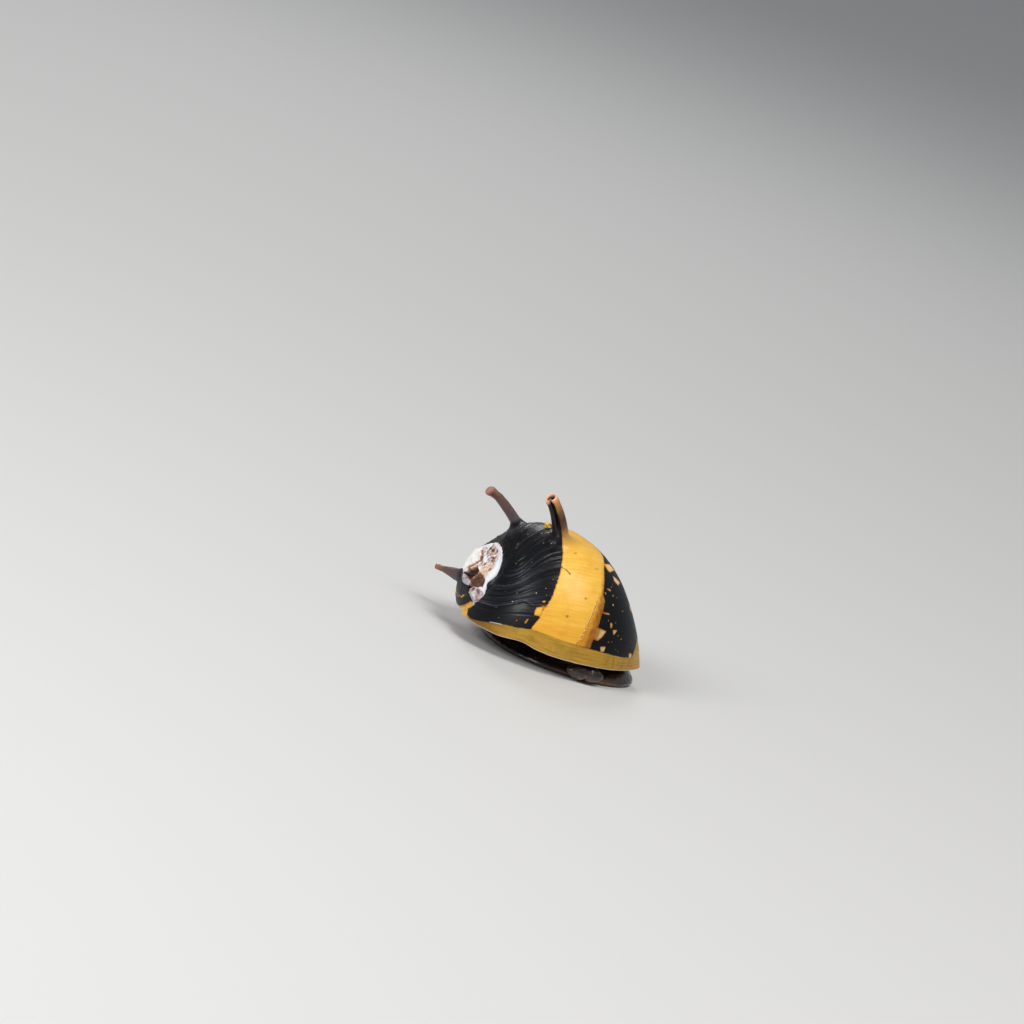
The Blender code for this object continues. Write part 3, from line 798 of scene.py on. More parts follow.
# Each horn: turn, rise from the axis, lean to the apex, bend, radius at the waist
HORNS = {
    "horn_front": (-1.38, 2.2, 3.1, 0.5, 0.56),
    "horn_middle": (-2.50, 1.19, 3.41, 0.35, 0.37),
    "horn_rear": (-3.74, 2.34, 1.33, 0.0, 0.50),
}


def last_angle(turn):
    """The far edge of the sheet: older growth disappears under the body."""
    return between(ANGLE_END, radians(-126), ramp(-turn, 2.0, 5.0))


def horn_path(turn, rise, lean, bend):
    """Root, elbow and tip of a horn, and the way in which the shell grew there."""
    base = shell_place(turn, SHOULDER)
    from_axis = base - POLE
    outward = (from_axis - AXIS * from_axis.dot(AXIS)).normalized()
    tip = base + (outward * rise + AXIS * lean) * MM
    elbow = base + (tip - base) * 0.45 + outward * bend * MM
    root = base - (elbow - base).normalized() * HORN_SINK * MM
    return (root, elbow, tip), outward.cross(AXIS)


HORN_STARTS = []
for turn, rise, lean, bend, waist in HORNS.values():
    path, growth_way = horn_path(turn, rise, lean, bend)
    HORN_STARTS.append((shell_place(turn, SHOULDER), (path[1] - path[0]).normalized(), waist * MM))


def horn_swelling(place):
    """How a horn's root lifts the shell round it, and how close the front or another root is."""
    for number, (base, ahead, waist) in enumerate(HORN_STARTS):
        away = place - base
        if away.length < 3 * MM:
            aside = max((away - ahead * away.dot(ahead)).length - waist * 0.95, 0)
            lifted = exp(-aside / TRUMPET_WIDTH)
            return ahead * TRUMPET_HEIGHT * lifted, (0.0, lifted) if number else (lifted, 0.0)
    return Vector(), (0.0, 0.0)


def seam(angle):
    """The turn at which the newest growth begins, a little below the black's ragged end."""
    return min(max(margin_line(angle), -0.26), -0.08)


def tuck_share(turn, angle):
    """How far the first edge of a young sheet is drawn in, to end under the older whorl."""
    return (1 - ramp(angle, radians(-184), radians(-169))) * ramp(turn, -1.4, -0.4)


def shell_sheet(newest, oldest, rows, columns, first=ANGLE_START, last=last_angle, sink=0.0):
    """A sheet of outer shell between two turns, with its growth and its marks written on it.

    Each of the two ends is a turn, or a function that gives the turn for a place of the lip.
    """
    form, (growth, marks, *roots, stained, thin) = new_grid(
        rows, columns, ("growth", "marks"), ("root_front", "root_other", "stain", "thin_wall"))

    def turn_at(angle, share):
        start, end = (bound(angle) if callable(bound) else bound for bound in (newest, oldest))
        return between(start, end, share)

    spots = []
    for vert in form.verts:
        share, lip_share = (vert.co.x + 1) / 2, (vert.co.y + 1) / 2
        rough_turn = turn_at(first, share)
        start = first + TUCK_SHIFT * ramp(rough_turn, -0.9, -0.4) * (first < UNDER_WHORL)
        angle = between(start, last(rough_turn), lip_share)
        turn = turn_at(angle, share)
        spots.append((turn, angle))
        vert.co = shell_place(turn, angle)
        vert[thin] = tuck_share(turn, angle)
        vert.co -= (vert.co - HEART) * TUCK_DEPTH * vert[thin]
        vert[marks] = (gold_depth(turn, angle), olive_depth(turn, angle), grain_depth(turn, angle))
        vert[stained] = stain(turn, angle)
    turn_faces(form, lambda place: place - HEART)
    moved = []
    for vert, (turn, angle) in zip(form.verts, spots):
        rise = relief(turn, angle) * ramp(in_scar(vert.co), 0.95, 1.2)
        vert[growth] = (turn * TURN * MM, lip_mm(angle) * MM, rise / RIB_HEIGHT)
        rise += GRAIN_HEIGHT * ramp(vert[marks].z, -0.02, 0.04)
        lift, closeness = horn_swelling(vert.co)
        for layer, value in zip(roots, closeness):
            vert[layer] = value
        moved.append(vert.co + vert.normal * (rise - sink) + lift)
    for vert, place in zip(form.verts, moved):
        vert.co = place
    worn = [vert for vert in form.verts if in_scar(vert.co) < SCAR_OPENING]
    bmesh.ops.delete(form, geom=worn, context="VERTS")
    everything = form.verts[:] + form.edges[:] + form.faces[:]
    bmesh.ops.bisect_plane(form, geom=everything, plane_co=(0, 0, LIP_HEIGHT), plane_no=(0, 0, -1),
                           clear_outer=True)
    loose = [vert for vert in form.verts if not vert.link_faces]
    bmesh.ops.delete(form, geom=loose, context="VERTS")
    return form


print("the black ends at turn", round(seam(SHOULDER), 3), "below the horns")

# %% Body whorl
MIDDLE_TURN = -2.34
OVERLAP = 0.03                      # of the first two sheets, in radians of growth
REAR_SINK = 0.004 * MM              # the older one lies a hair lower
REAR_END, SPIRE_START, SPIRE_END = -5.9, -5.7, -11.5
SPIRE_EDGE = radians(-124)
WALL = 0.35 * MM

front_form = shell_sheet(seam, MIDDLE_TURN, 300, 155)
finish_piece("whorl_front", front_form, shell_material, ["shell_body_whorl"],
             outwards=False, wall=WALL, thin="thin_wall")
rear_form = shell_sheet(MIDDLE_TURN + OVERLAP, REAR_END, 260, 120, sink=REAR_SINK)
finish_piece("whorl_rear", rear_form, shell_material, outwards=False, wall=WALL)
spire_form = shell_sheet(SPIRE_START, SPIRE_END, 150, 40, last=lambda turn: SPIRE_EDGE)
finish_piece("spire", spire_form, shell_material, outwards=False, wall=WALL / 2)

# %% [markdown]
# ## The margin
#
# The newest growth is a smooth olive-amber strip without black. It ends in a thin glassy edge, with a
# painted highlight along it as a pale line. It is made as the whorl is, lies a hair lower so that the
# black seems to end on a step, and a vertex group thins its wall towards the edge. A crack runs up
# from the edge at one place.

# %% Margin
ARCH = 0.036                        # of growth that the lip's edge draws back below the horns
CRACK = -67.5                       # degrees of the lip
CRACK_SLANT = 22                    # degrees of the lip for each radian of growth
MARGIN_START = radians(-176)
MARGIN_WALL = 0.4 * MM
MARGIN_SINK = 0.02 * MM
CRACK_DEPTH = 0.15 * MM


def lip_edge(angle):
    return -ARCH * bump_at(angle + radians(124.5), radians(8)) + 0.003 * wander(23, 9 * angle)


def below_seam(angle):
    return seam(angle) - 0.02


def make_margin():
    form = shell_sheet(0.0, below_seam, 44, 340, first=MARGIN_START, last=lambda turn: ANGLE_END,
                       sink=MARGIN_SINK)
    growth = form.verts.layers.float_vector["growth"]
    thin = form.verts.layers.float["thin_wall"]
    for vert in form.verts:
        turn, place = vert[growth].x / (TURN * MM), vert[growth].y / (DEGREE * MM)
        angle = radians(place)
        share = 1 - turn / below_seam(angle)
        vert.co += (shell_place(lip_edge(angle), angle) - shell_place(0, angle)) * share
        vert[thin] = max(vert[thin], ramp(share, 0.80, 1.0))
        from_crack = abs(place - CRACK - CRACK_SLANT * turn + 0.8 * wander(24, 30 * turn))
        opened = bump_at(from_crack, 0.35) * ramp(-turn, 0.0, 0.02) * (1 - ramp(-turn, 0.10, 0.14))
        vert.co -= (vert.co - HEART).normalized() * CRACK_DEPTH * opened
    return form


finish_piece("shell_margin", make_margin(), shell_material, ["shell_lip"],
             outwards=False, wall=MARGIN_WALL, thin="thin_wall")

# %% [markdown]
# ## Inside of the shell
#
# A plate with small teeth closes the shell's underside behind its mouth, as in all nerites. It is
# fitted to the plain shell, which is found with rays on a coarse sheet.

# %% Inside of the shell
DECK_EDGE = 1.6 * MM
DECK_HEIGHT = LIP_HEIGHT + 0.06 * MM
DECK_INSET = 0.12 * MM              # from the shell's outer face
DECK_DOME, DECK_LEDGE, DECK_TEETH = 0.35, 0.22, 0.05  # heights in millimetres
FAR_AWAY = 20 * MM
DECK_STOPS = [(0.3, (0.20, 0.13, 0.06)), (0.5, (0.50, 0.42, 0.28)), (0.7, (0.62, 0.56, 0.42))]


def plain_sheet(newest, oldest, rows, columns):
    """The plain shell as a coarse sheet, to find its surface."""
    form = new_grid(rows, columns)[0]
    for vert in form.verts:
        turn = between(newest, oldest, (vert.co.x + 1) / 2)
        vert.co = shell_place(turn, between(ANGLE_START, last_angle(turn), (vert.co.y + 1) / 2))
    return BVHTree.FromBMesh(form)


def deck_side(way):
    """Where the plate ends at the left (-1) or the right (1)."""
    start = Vector((way * FAR_AWAY, DECK_EDGE, DECK_HEIGHT))
    return outer_tree.ray_cast(start, Vector((-way, 0, 0)))[0].x - way * DECK_INSET


def make_deck():
    """The plate that closes the shell's underside behind its mouth."""
    form = new_grid(110, 50)[0]
    left, right = deck_side(-1), deck_side(1)
    for vert in form.verts:
        across = between(left, right, (vert.co.x + 1) / 2)
        share = (vert.co.y + 1) / 2
        hit = outer_tree.ray_cast(Vector((across, FAR_AWAY, DECK_HEIGHT)), Vector((0, -1, 0)))[0]
        rear = max(hit.y - DECK_INSET if hit else DECK_EDGE, DECK_EDGE)
        teeth = DECK_TEETH * abs(sin(pi * (vert.co.x + 1) * 6)) * bump_at(vert.co.x, 0.5)
        dome_share = (1 - vert.co.x ** 2) * sin(pi * min(share * 1.1, 1))
        rise = DECK_DOME * dome_share + DECK_LEDGE * (1 - ramp(share, 0, 0.08))
        rise -= teeth * (1 - ramp(share, 0, 0.12))
        vert.co = Vector((across, between(DECK_EDGE, rear, share), DECK_HEIGHT + rise * MM))
    weld(form)
    turn_faces(form, lambda place: Vector((0, 0, -1)))
    return form


outer_tree = plain_sheet(0, SPIRE_END + 1, 300, 90)
deck_material = cloudy_finish("shell_deck", 0.3, 700, 4, DECK_STOPS, bump=0.02 * MM, Coat_Weight=0.3,
                              Coat_Roughness=0.1)
finish_piece("shell_deck", make_deck(), deck_material, outwards=False, wall=0.3 * MM)

# %% [markdown]
# ## The worn apex
#
# Acid water has eaten the oldest whorls, so the white layers under the black skin lie open: a pale
# raised rim, a brown hollow and a dark pit, whose dark tint is partly painted shade. A disc of rings
# is laid on the outline. Its relief is built as the real one was, layer over layer: each layer is a
# shape with its own height and tint, and noises break the layers up. The same values tint it,
# through attributes.

# %% Layers of the worn apex
# Each layer: corners in millimetres, softness of its edge, height, paleness, warmth, mottling
SCAR_LAYERS = [
    ([(2.12, 0.09), (1.52, 0.19), (1.1, 0.44), (0.15, 0.44), (-0.66, -0.28), (-0.82, -1.05), (0.01, -1.25),
      (1.08, -1.04)], 0.45, -0.05, 0.60, 0.62, 1.1),
    ([(0.20, 0.55), (-0.95, -0.15), (-1.60, -0.10), (-2.1, 0.10), (-1.19, 0.28), (-0.53, 0.60)],
     0.35, -0.02, 0.70, 1.0, 0.40),
    ([(-0.38, 1.52), (-0.53, 0.57), (-1.19, 0.25), (-2.10, 0.16), (-2.35, 0.50), (-1.88, 1.05), (-1.8, 1.44),
      (-1.0, 1.52)], 0.22, -0.13, 0.22, 1.0, 0.35),
    ([(0.74, 2.40), (0.91, 1.9), (-0.38, 1.52), (-1.0, 1.52), (-0.91, 1.85), (-0.03, 2.40)],
     0.08, 0.06, 0.58, 0.05, 0.45),
    # The pit: sunk deep, its dark tint partly painted shade
    ([(0.92, 1.87), (0.53, 0.65), (-0.45, 0.56), (-0.38, 1.52)], 0.07, -0.42, 0.04, 1.0, 0.15),
    ([(2.53, 0.54), (2.04, 0.23), (1.3, 0.09), (0.75, 0.26), (0.71, 0.78), (1.02, 1.82), (1.72, 2.1),
      (1.94, 1.6), (2.21, 1.35), (2.69, 0.89)], 0.08, 0.19, 0.97, 0.85, 0.06),
    ([(-1.05, 1.57), (-1.61, 1.29), (-1.95, 1.41), (-1.58, 1.85), (-1.2, 1.85)], 0.10, -0.25, 0.03, 0.9, 0.1),
    ([(-1.72, 1.08), (-1.66, 1.45), (-2.0, 1.62), (-1.78, 1.95), (-2.47, 2.1), (-3.35, 1.65), (-3.30, 0.80),
      (-2.60, 0.66)], 0.08, 0.12, 0.64, 0.30, 0.5),
]
# Round spots: two places, radius, added height, added paleness
SCAR_SPOTS = [
    (1.44, -0.20, 0.13, 0.05, 0.5), (1.10, -0.08, 0.12, 0.05, 0.6), (0.75, -0.10, 0.12, 0.05, 0.5),
    (0.27, -0.06, 0.15, 0.06, 0.6), (-0.07, 0.53, 0.10, 0.08, 0.8), (-0.44, 0.53, 0.10, 0.08, 0.7),
    (0.55, 0.42, 0.10, 0.05, 0.5), (1.42, -0.89, 0.13, -0.06, -0.5), (-0.13, -0.80, 0.12, -0.06, -0.4),
    (1.31, -0.62, 0.10, -0.04, -0.4), (0.37, -1.19, 0.12, -0.04, -0.35), (-1.17, -0.36, 0.10, -0.12, -0.6),
    (-1.17, -0.36, 0.22, -0.02, -0.15), (0.75, -0.75, 0.15, -0.04, -0.3), (0.95, 0.22, 0.14, -0.06, -0.4),
    (-2.0, 1.20, 0.14, -0.05, -0.4), (-2.45, 0.95, 0.13, -0.05, -0.3), (-2.9, 1.3, 0.10, -0.03, -0.3),
]
CREVICE = 0.07                      # millimetres of shade at the foot of a raised layer


def scar_look(length, width, share):
    """Height in millimetres, paleness and warmth at a place of the worn apex."""
    rim = ramp(share, 0.66, 0.84)
    look = [0.03 * rim, 0.74 + 0.22 * rim, 0.75 - 0.55 * rim, 0.35 - 0.12 * rim]
    torn = 0.05 * wander(13, 4 * length, 4 * width) + 0.03 * wander(14, 11 * length, 11 * width)
    for corners, soft, *layer in SCAR_LAYERS:
        depth = inside(corners, length, width) + torn
        if layer[0] > 0.05:
            look[1] -= 0.5 * bump_at(max(-depth, 0), CREVICE) * (1 - rim)
        cover = ramp(depth, -soft / 2, soft / 2)
        look = [between(below, above, cover) for below, above in zip(look, layer)]
    height, pale, warm, mottled = look
    for x, y, radius, rise, tint in SCAR_SPOTS:
        close = bump_at(hypot(length - x, width - y) + 0.5 * torn, radius)
        height += rise * close
        pale += tint * close
    streaks = wander(15, 2.5 * length + 9 * width, 2.5 * width - 9 * length)
    patches = wander(16, 4.6 * length, 4.6 * width) + 0.6 * wander(17, 11 * length, 11 * width)
    pale += mottled * (0.42 * patches + 0.12 * streaks)
    warm -= 0.9 * max(wander(27, 2.1 * length, 2.1 * width), 0) * mottled
    # The outermost edge is stained orange at the top
    stained = ramp(share, 0.93, 0.98) * ramp(length, -0.5, 1.2)
    warm += (1 - warm) * stained
    pale -= 0.38 * stained
    terraces = 0.035 * round(2.5 * wander(18, 2.2 * length, 2.2 * width))
    rough = 0.03 * wander(19, 6 * length, 6 * width) + 0.015 * wander(20, 17 * length, 17 * width)
    return height + (terraces + rough) * (1.0 - 0.7 * rim), pale, warm


print("layers:", len(SCAR_LAYERS), "and spots:", len(SCAR_SPOTS))

# %% Worn apex
SCAR_PROUD = 0.035                  # millimetres that the worn apex stands above the shell
WARM_STOPS = [(0.0, (0.016, 0.006, 0.003)), (0.22, (0.10, 0.036, 0.014)), (0.42, (0.34, 0.14, 0.065)),
              (0.62, (0.78, 0.46, 0.27)), (0.80, (0.90, 0.76, 0.60)), (0.95, (0.93, 0.88, 0.80))]
COOL_STOPS = [(0.0, (0.02, 0.014, 0.016)), (0.25, (0.10, 0.075, 0.085)), (0.5, (0.29, 0.24, 0.27)),
              (0.68, (0.52, 0.50, 0.56)), (0.85, (0.84, 0.85, 0.89))]


def scar_finish():
    paint = Paint("worn_layers", 0.5, Subsurface_Weight=0.15, Subsurface_Scale=0.25 * MM)
    place = paint.place()
    grit = paint.noise(place, 5000, 5, 0.7)
    mottling = paint.scaled(grit, 0.30, paint.scaled(paint.noise(place, 1600, 4), 0.24, -0.27))
    pale = paint.math("ADD", mottling, paint.mark("pale"))
    cool = paint.tints(pale, *COOL_STOPS)
    paint.give("Base Color", paint.cover(cool, (paint.mark("warm"), paint.tints(pale, *WARM_STOPS))))
    paint.bump(grit, 0.02 * MM, 0.7)
    return paint.material


def make_scar():
    form, (pale_layer, warm_layer) = new_grid(300, 110, numbers=("pale", "warm"))
    for vert in form.verts:
        around = pi * vert.co.x
        share = (vert.co.y + 1) / 2 * 1.05
        radius = scar_radius(around) * share
        length, width = cos(around) * radius, sin(around) * radius
        height, vert[pale_layer], vert[warm_layer] = scar_look(length, width, share)
        flat = SCAR_MIDDLE + (SCAR_LENGTHWAYS * length + SCAR_SIDEWAYS * width) * MM
        hit = outer_tree.ray_cast(flat + SCAR_FACING * 5 * MM, -SCAR_FACING)[0]
        shell_height = (hit - flat).dot(SCAR_FACING) / MM if hit else 0
        worn_height = -0.02 * (length * length + width * width)
        base = between(worn_height, shell_height, ramp(share, 0.55, 0.95))
        rolled = 1 - ramp(share, 0.95, 1.02)
        rise = base + (SCAR_PROUD + height) * rolled - 0.12 * ramp(share, 0.98, 1.05)
        vert.co = flat + SCAR_FACING * rise * MM
    weld(form)
    return form


finish_piece("worn_apex", make_scar(), scar_finish(), ["shell_apex"], wall=0.2 * MM)

# %% [markdown]
# ## The horns
#
# Each horn is a fold of the lip from one day of growth, rolled into a gutter. The front one is
# still open along its side and hollow at its tip; the others are worn round. Rings of vertices
# are set along a curve, pinched on the open side, and bridged. The last rings turn inwards, which
# makes the hollow tip. The root sinks into the swelling that the whorl has there.

# %% Horn forms
HORN_RINGS = 80
HORN_SIDES = 72
HORN_WALL = 0.13                    # in millimetres, at the open tip
SLIT_AT = radians(102)              # round the horn
# Each horn: radius at the tip, flare at the root, bulb at the tip, depth of the slit, hook
HORN_SHAPES = {
    "horn_front": (0.44, 0.10, 0.02, 0.62, 0.0),
    "horn_middle": (0.30, 0.20, 0.07, 0.0, 0.30),
    "horn_rear": (0.21, 0.30, 0.0, 0.0, 0.0),
}


def ring_plan(opened):
    """Share of the length, share of the radius and wall lost, for each ring from root to tip."""
    rings = [(index / HORN_RINGS, 1.0, 0.0) for index in range(HORN_RINGS + 1)]
    if opened:
        rings += [(1.012, 1.0, 0.03), (1.016, 1.0, 0.065), (1.008, 1.0, 0.11), (0.985, 1.0, HORN_WALL)]
        rings += [(0.985 - 0.06 * step, 1.0 - 0.03 * step, HORN_WALL) for step in range(1, 6)]
        return rings + [(0.66, 0.3, HORN_WALL)]
    dome = [pi * step / 16 for step in range(1, 9)]
    return rings + [(1 + 0.035 * sin(rise), max(cos(rise), 0.02), 0.0) for rise in dome]


def make_horn(name):
    turn, rise, lean, bend, waist = HORNS[name]
    tip_radius, flare, bulb, slit, hook = HORN_SHAPES[name]
    path, growth_way = horn_path(turn, rise, lean, bend)
    form = bmesh.new()
    along, beside, deep = (form.verts.layers.float.new(title) for title in ("along", "side", "deep"))
    rings = []
    for share, narrowed, wall in ring_plan(slit > 0):
        ahead = (bezier(*path, share + 0.01) - bezier(*path, share - 0.01)).normalized()
        side = ahead.cross(growth_way).normalized()
        facing = side.cross(ahead)
        place = bezier(*path, share) - side * hook * MM * ramp(share, 0.72, 1.05) * 0.8
        radius = between(waist, tip_radius, ramp(share, 0.25, 0.9)) + bulb * bump_at(share - 0.95, 0.06)
        radius += flare * max(1 - share / 0.42, 0) ** 2
        made = new_ring(form, HORN_SIDES)
        for number, vert in enumerate(made):
            around = 2 * pi * number / HORN_SIDES
            x, y = cos(around), sin(around)
            gap = bump_at((around - SLIT_AT + pi) % (2 * pi) - pi, 0.30) * ramp(share, 0.22, 0.50)
            lumps = 1 + 0.035 * wander(20 + turn, 2 * x, 2 * y + 7 * share)
            ridges = 0.012 * wander(25, 9 * x + 9 * y, 1.5 * share)
            growth_marks = 0.010 * wander(26, 40 * share, 1.5 * x)
            reach = radius * narrowed * (1 - slit * gap) * lumps + ridges + growth_marks - wall
            vert.co = place + (side * x + facing * y) * max(reach, 0.01) * MM
            vert[along] = share
            vert[beside] = cos(around + radians(12))
            # deep: where painted shade goes, in the slit and inside the hollow tip
            vert[deep] = max(gap * slit, ramp(wall, 0.08, HORN_WALL) * ramp(1.01 - share, 0.02, 0.1))
        rings.append(made)
    bridge(form, rings)
    return form


print("rings of the open horn:", len(ring_plan(True)))

# %% Horns
TAN_STOPS = [(0.28, (0.55, 0.28, 0.060)), (0.42, (0.15, 0.065, 0.022)), (0.56, (0.060, 0.026, 0.012)),
             (0.74, (0.22, 0.095, 0.030)), (0.90, (0.62, 0.27, 0.065)), (1.0, (0.84, 0.50, 0.34))]
PURPLE_STOPS = [(0.2, (0.095, 0.078, 0.095)), (0.45, (0.105, 0.064, 0.062)), (0.75, (0.135, 0.070, 0.054)),
                (0.95, (0.30, 0.135, 0.090)), (1.0, (0.38, 0.19, 0.14))]


def horn_finish(name, stops, left_black):
    paint = Paint(name, 0.3, Coat_Weight=0.15, Coat_Roughness=0.15, Specular_IOR_Level=0.32)
    streaks = paint.noise(paint.place(), 2200, 5)
    along = paint.scaled(streaks, 0.20, paint.math("ADD", paint.mark("along"), -0.10))
    side = paint.scaled(streaks, 0.3, paint.math("ADD", paint.mark("side"), -0.15))
    if left_black:
        black = paint.tints(side, (0.0, 1), (0.06, 0))
        below_tip = paint.tints(along, (0.90, 1), (0.97, 0))
        other_side = (paint.scaled(black, below_tip), (0.010, 0.008, 0.008))
    else:
        # a painted orange glow on one side, as of light shining through the thin wall
        other_side = (paint.tints(side, (0.2, 0), (1.0, 0.55)), (0.30, 0.13, 0.04))
    # painted shade: near black in the slit and inside the hollow tip
    hollow = (paint.mark("deep"), (0.004, 0.003, 0.003))
    paint.give("Base Color", paint.cover(paint.tints(along, *stops), other_side, hollow))
    paint.give("Roughness", paint.scaled(streaks, 0.3, 0.18))
    paint.bump(streaks, 0.02 * MM, 0.5)
    return paint.material


front_finish = horn_finish("horn_black_and_tan", TAN_STOPS, True)
other_finish = horn_finish("horn_purple_brown", PURPLE_STOPS, False)
for name in HORNS:
    finish = front_finish if name == "horn_front" else other_finish
    finish_piece(name.replace("horn_", "spine_"), make_horn(name), finish, [name])

# %% [markdown]
# ## The broken horn
#
# A fourth horn broke off long ago. Its stump is a short tube of uneven rings with a torn top.

# %% Broken horn
STUB_TURN = -1.757
STUB_ANGLE = radians(-126.9)
STUB_SIDES = 28
# Height above the shell and radius, in millimetres
STUB_PROFILE = [(-0.3, 0.34), (-0.05, 0.30), (0.08, 0.22), (0.18, 0.20), (0.27, 0.20), (0.33, 0.15),
                (0.31, 0.06)]
STUB_STOPS = [(0.36, (0.16, 0.06, 0.015)), (0.48, (0.74, 0.40, 0.05)), (0.7, (0.88, 0.60, 0.12))]


def make_stub():
    base = shell_place(STUB_TURN, STUB_ANGLE)
    outward = (base - HEART).normalized()
    side = outward.cross(AXIS).normalized()
    facing = outward.cross(side)
    form = bmesh.new()
    rings = []
    for rise, radius in STUB_PROFILE:
        made = new_ring(form, STUB_SIDES)
        for number, vert in enumerate(made):
            around = 2 * pi * number / STUB_SIDES
            x, y = cos(around), sin(around)
            uneven = 1 + 0.22 * wander(28, 2 * x, 2 * y + 3 * rise)
            torn = 0.07 * wander(29, 3 * x, 3 * y) * (rise > 0.3)
            vert.co = base + ((side * x + facing * y) * radius * uneven + outward * (rise + torn)) * MM
        rings.append(made)
    bridge(form, rings)
    return form


stub_material = cloudy_finish("horn_stump", 0.3, 4500, 3, STUB_STOPS, Coat_Weight=0.3, Coat_Roughness=0.15)
finish_piece("spine_stump", make_stub(), stub_material)

# %% [markdown]
# ## Skin
#
# Foot, head, snout, feelers and mantle are one soft body, so they are one mesh with no seam. The
# forms are made roughly, then a Remesh modifier melts them into one surface and Smooth relaxes the
# joints. Sculpting would give the same, but this way the sizes stay those of the solid model.

# %% Skin forms
FOOT_MIDDLE = at(1.15, -0.35)
FOOT_HALF_WIDTH = 5.5 * MM
FOOT_HALF_LENGTH = 6.1 * MM
FOOT_FULLNESS = 2.3
TAIL_NARROWING = 0.2
# Height above the floor and how far the side lies in, in millimetres
FOOT_PROFILE = [(0.0, 0.22), (0.08, 0.06), (0.2, 0.0), (0.34, 0.04), (0.55, 0.22), (0.85, 0.55), (1.1, 1.1)]
HEAD_MIDDLE = at(0.9, -5.55, 1.58)
SNOUT_MIDDLE = at(0.9, -6.82, 0.7)
# Middle and size of each rounded form: head, snout, neck, mantle
BALLS = [(HEAD_MIDDLE, at(1.75, 1.2, 0.72)), (SNOUT_MIDDLE, at(1.45, 0.66, 0.58)),
         (at(0.9, -4.2, 1.2), at(2.2, 1.9, 0.8)), (at(0.6, -0.6, 1.5), at(4.3, 3.6, 0.85))]
# Curve from the head's middle, radius at its root and at its end: a tentacle, a stalk
FEELERS = [((at(0.6, -0.3, -0.05), at(2.15, -0.6, 0), at(2.35, 0.35, 0)), 0.27, 0.15),
           ((at(0.5, 0.3, 0.15), at(1.3, 0.62, 0.32), at(1.85, 0.8, 0.38)), 0.27, 0.24)]


def add_foot(form):
    rings = []
    for height, inset in FOOT_PROFILE:
        made = new_ring(form, 96)
        for vert in made:
            unit = (abs(vert.co.x) ** FOOT_FULLNESS + abs(vert.co.y) ** FOOT_FULLNESS) ** (-1 / FOOT_FULLNESS)
            wave = 0.06 * wander(20, 3 * vert.co.x, 3 * vert.co.y) * (height > 0)
            narrowed = 1 - TAIL_NARROWING * max(unit * vert.co.y, 0) ** 1.5
            vert.co.x *= unit * (FOOT_HALF_WIDTH - (inset - wave) * MM) * narrowed
            vert.co.y *= unit * (FOOT_HALF_LENGTH - (inset - wave) * MM)
            # The tail is a thin tongue behind, which leaves room for the lid
            lowered = height * (1 - 0.62 * ramp(vert.co.y + FOOT_MIDDLE.y, 1.6 * MM, 2.6 * MM))
            vert.co += FOOT_MIDDLE + at(0, 0, lowered)
        rings.append(made)
    bridge(form, rings)


def add_ball(form, middle, size):
    made = bmesh.ops.create_uvsphere(form, u_segments=32, v_segments=20, radius=1)["verts"]
    bmesh.ops.scale(form, vec=size, verts=made)
    bmesh.ops.translate(form, vec=middle, verts=made)


def add_feeler(form, path, thick, thin, steps=24):
    rings = []
    for index in range(steps + 1):
        share = index / steps
        ahead = bezier(*path, share + 0.01) - bezier(*path, share - 0.01)
        turned = ahead.to_track_quat("Z", "Y").to_matrix().to_4x4()
        matrix = Matrix.Translation(bezier(*path, share)) @ turned
        radius = between(thick, thin, share) * MM
        rings.append(bmesh.ops.create_circle(form, segments=16, radius=radius, matrix=matrix)["verts"])
    bridge(form, rings)


def make_skin():
    form = bmesh.new()
    add_foot(form)
    for middle, size in BALLS:
        add_ball(form, middle, size)
    for side in (1, -1):
        mirror = Matrix.Diagonal((side, 1, 1))
        for path, thick, thin in FEELERS:
            add_feeler(form, [HEAD_MIDDLE + mirror @ spot for spot in path], thick, thin)
    return form


print("foot is", round(2 * FOOT_HALF_LENGTH / MM, 1), "mm long")

# %% Skin piece
FLESH_NODES = ["foot_front", "foot_middle", "foot_tail", "mantle", "head", "snout", "tentacle_left",
               "tentacle_right", "eyestalk_left", "eyestalk_right"]
SKIN_VOXEL = 0.10 * MM
SKIN_STOPS = [(0.3, (0.007, 0.005, 0.005)), (0.55, (0.02, 0.011, 0.008)), (0.75, (0.05, 0.024, 0.012))]


def skin_finish():
    """Dark wet skin with pale specks, and a painted amber glow where the foot's edge is thin, as of light
    shining through it.
    """
    paint = Paint("wet_skin", 0.28, Coat_Weight=0.4, Coat_Roughness=0.1, Subsurface_Weight=0.25,
                  Subsurface_Scale=0.5 * MM, Subsurface_Radius=(1.0, 0.35, 0.12))
    place = paint.place()
    dots = paint.node("TexVoronoi", {"Vector": place, "Scale": 2600}).outputs["Distance"]
    paint.give("Base Color", paint.cover(
        paint.tints(paint.noise(place, 500, 5), *SKIN_STOPS),
        # painted amber glow, as of light shining through the foot's thin right edge
        (paint.mark("thin"), (0.20, 0.085, 0.022)),
        (paint.tints(dots, (0.10, 0.5), (0.16, 0)), (0.35, 0.30, 0.24))))
    paint.bump(paint.noise(place, 5200, 2), 0.03 * MM, 0.7)
    return paint.material


def melt(piece, voxel, smooth):
    """Applies Remesh and Smooth, so that the joined forms become one surface."""
    remesh = piece.modifiers.new("melt", "REMESH")
    remesh.mode = "VOXEL"
    remesh.voxel_size = voxel
    remesh.use_smooth_shade = True
    piece.modifiers.new("relax", "SMOOTH").iterations = smooth
    bpy.context.view_layer.update()
    graph = bpy.context.evaluated_depsgraph_get()
    melted = bpy.data.meshes.new_from_object(piece.evaluated_get(graph))
    piece.modifiers.clear()
    finish = piece.data.materials[0]
    piece.data = melted
    melted.materials.clear()
    melted.materials.append(finish)
    melted.shade_smooth()


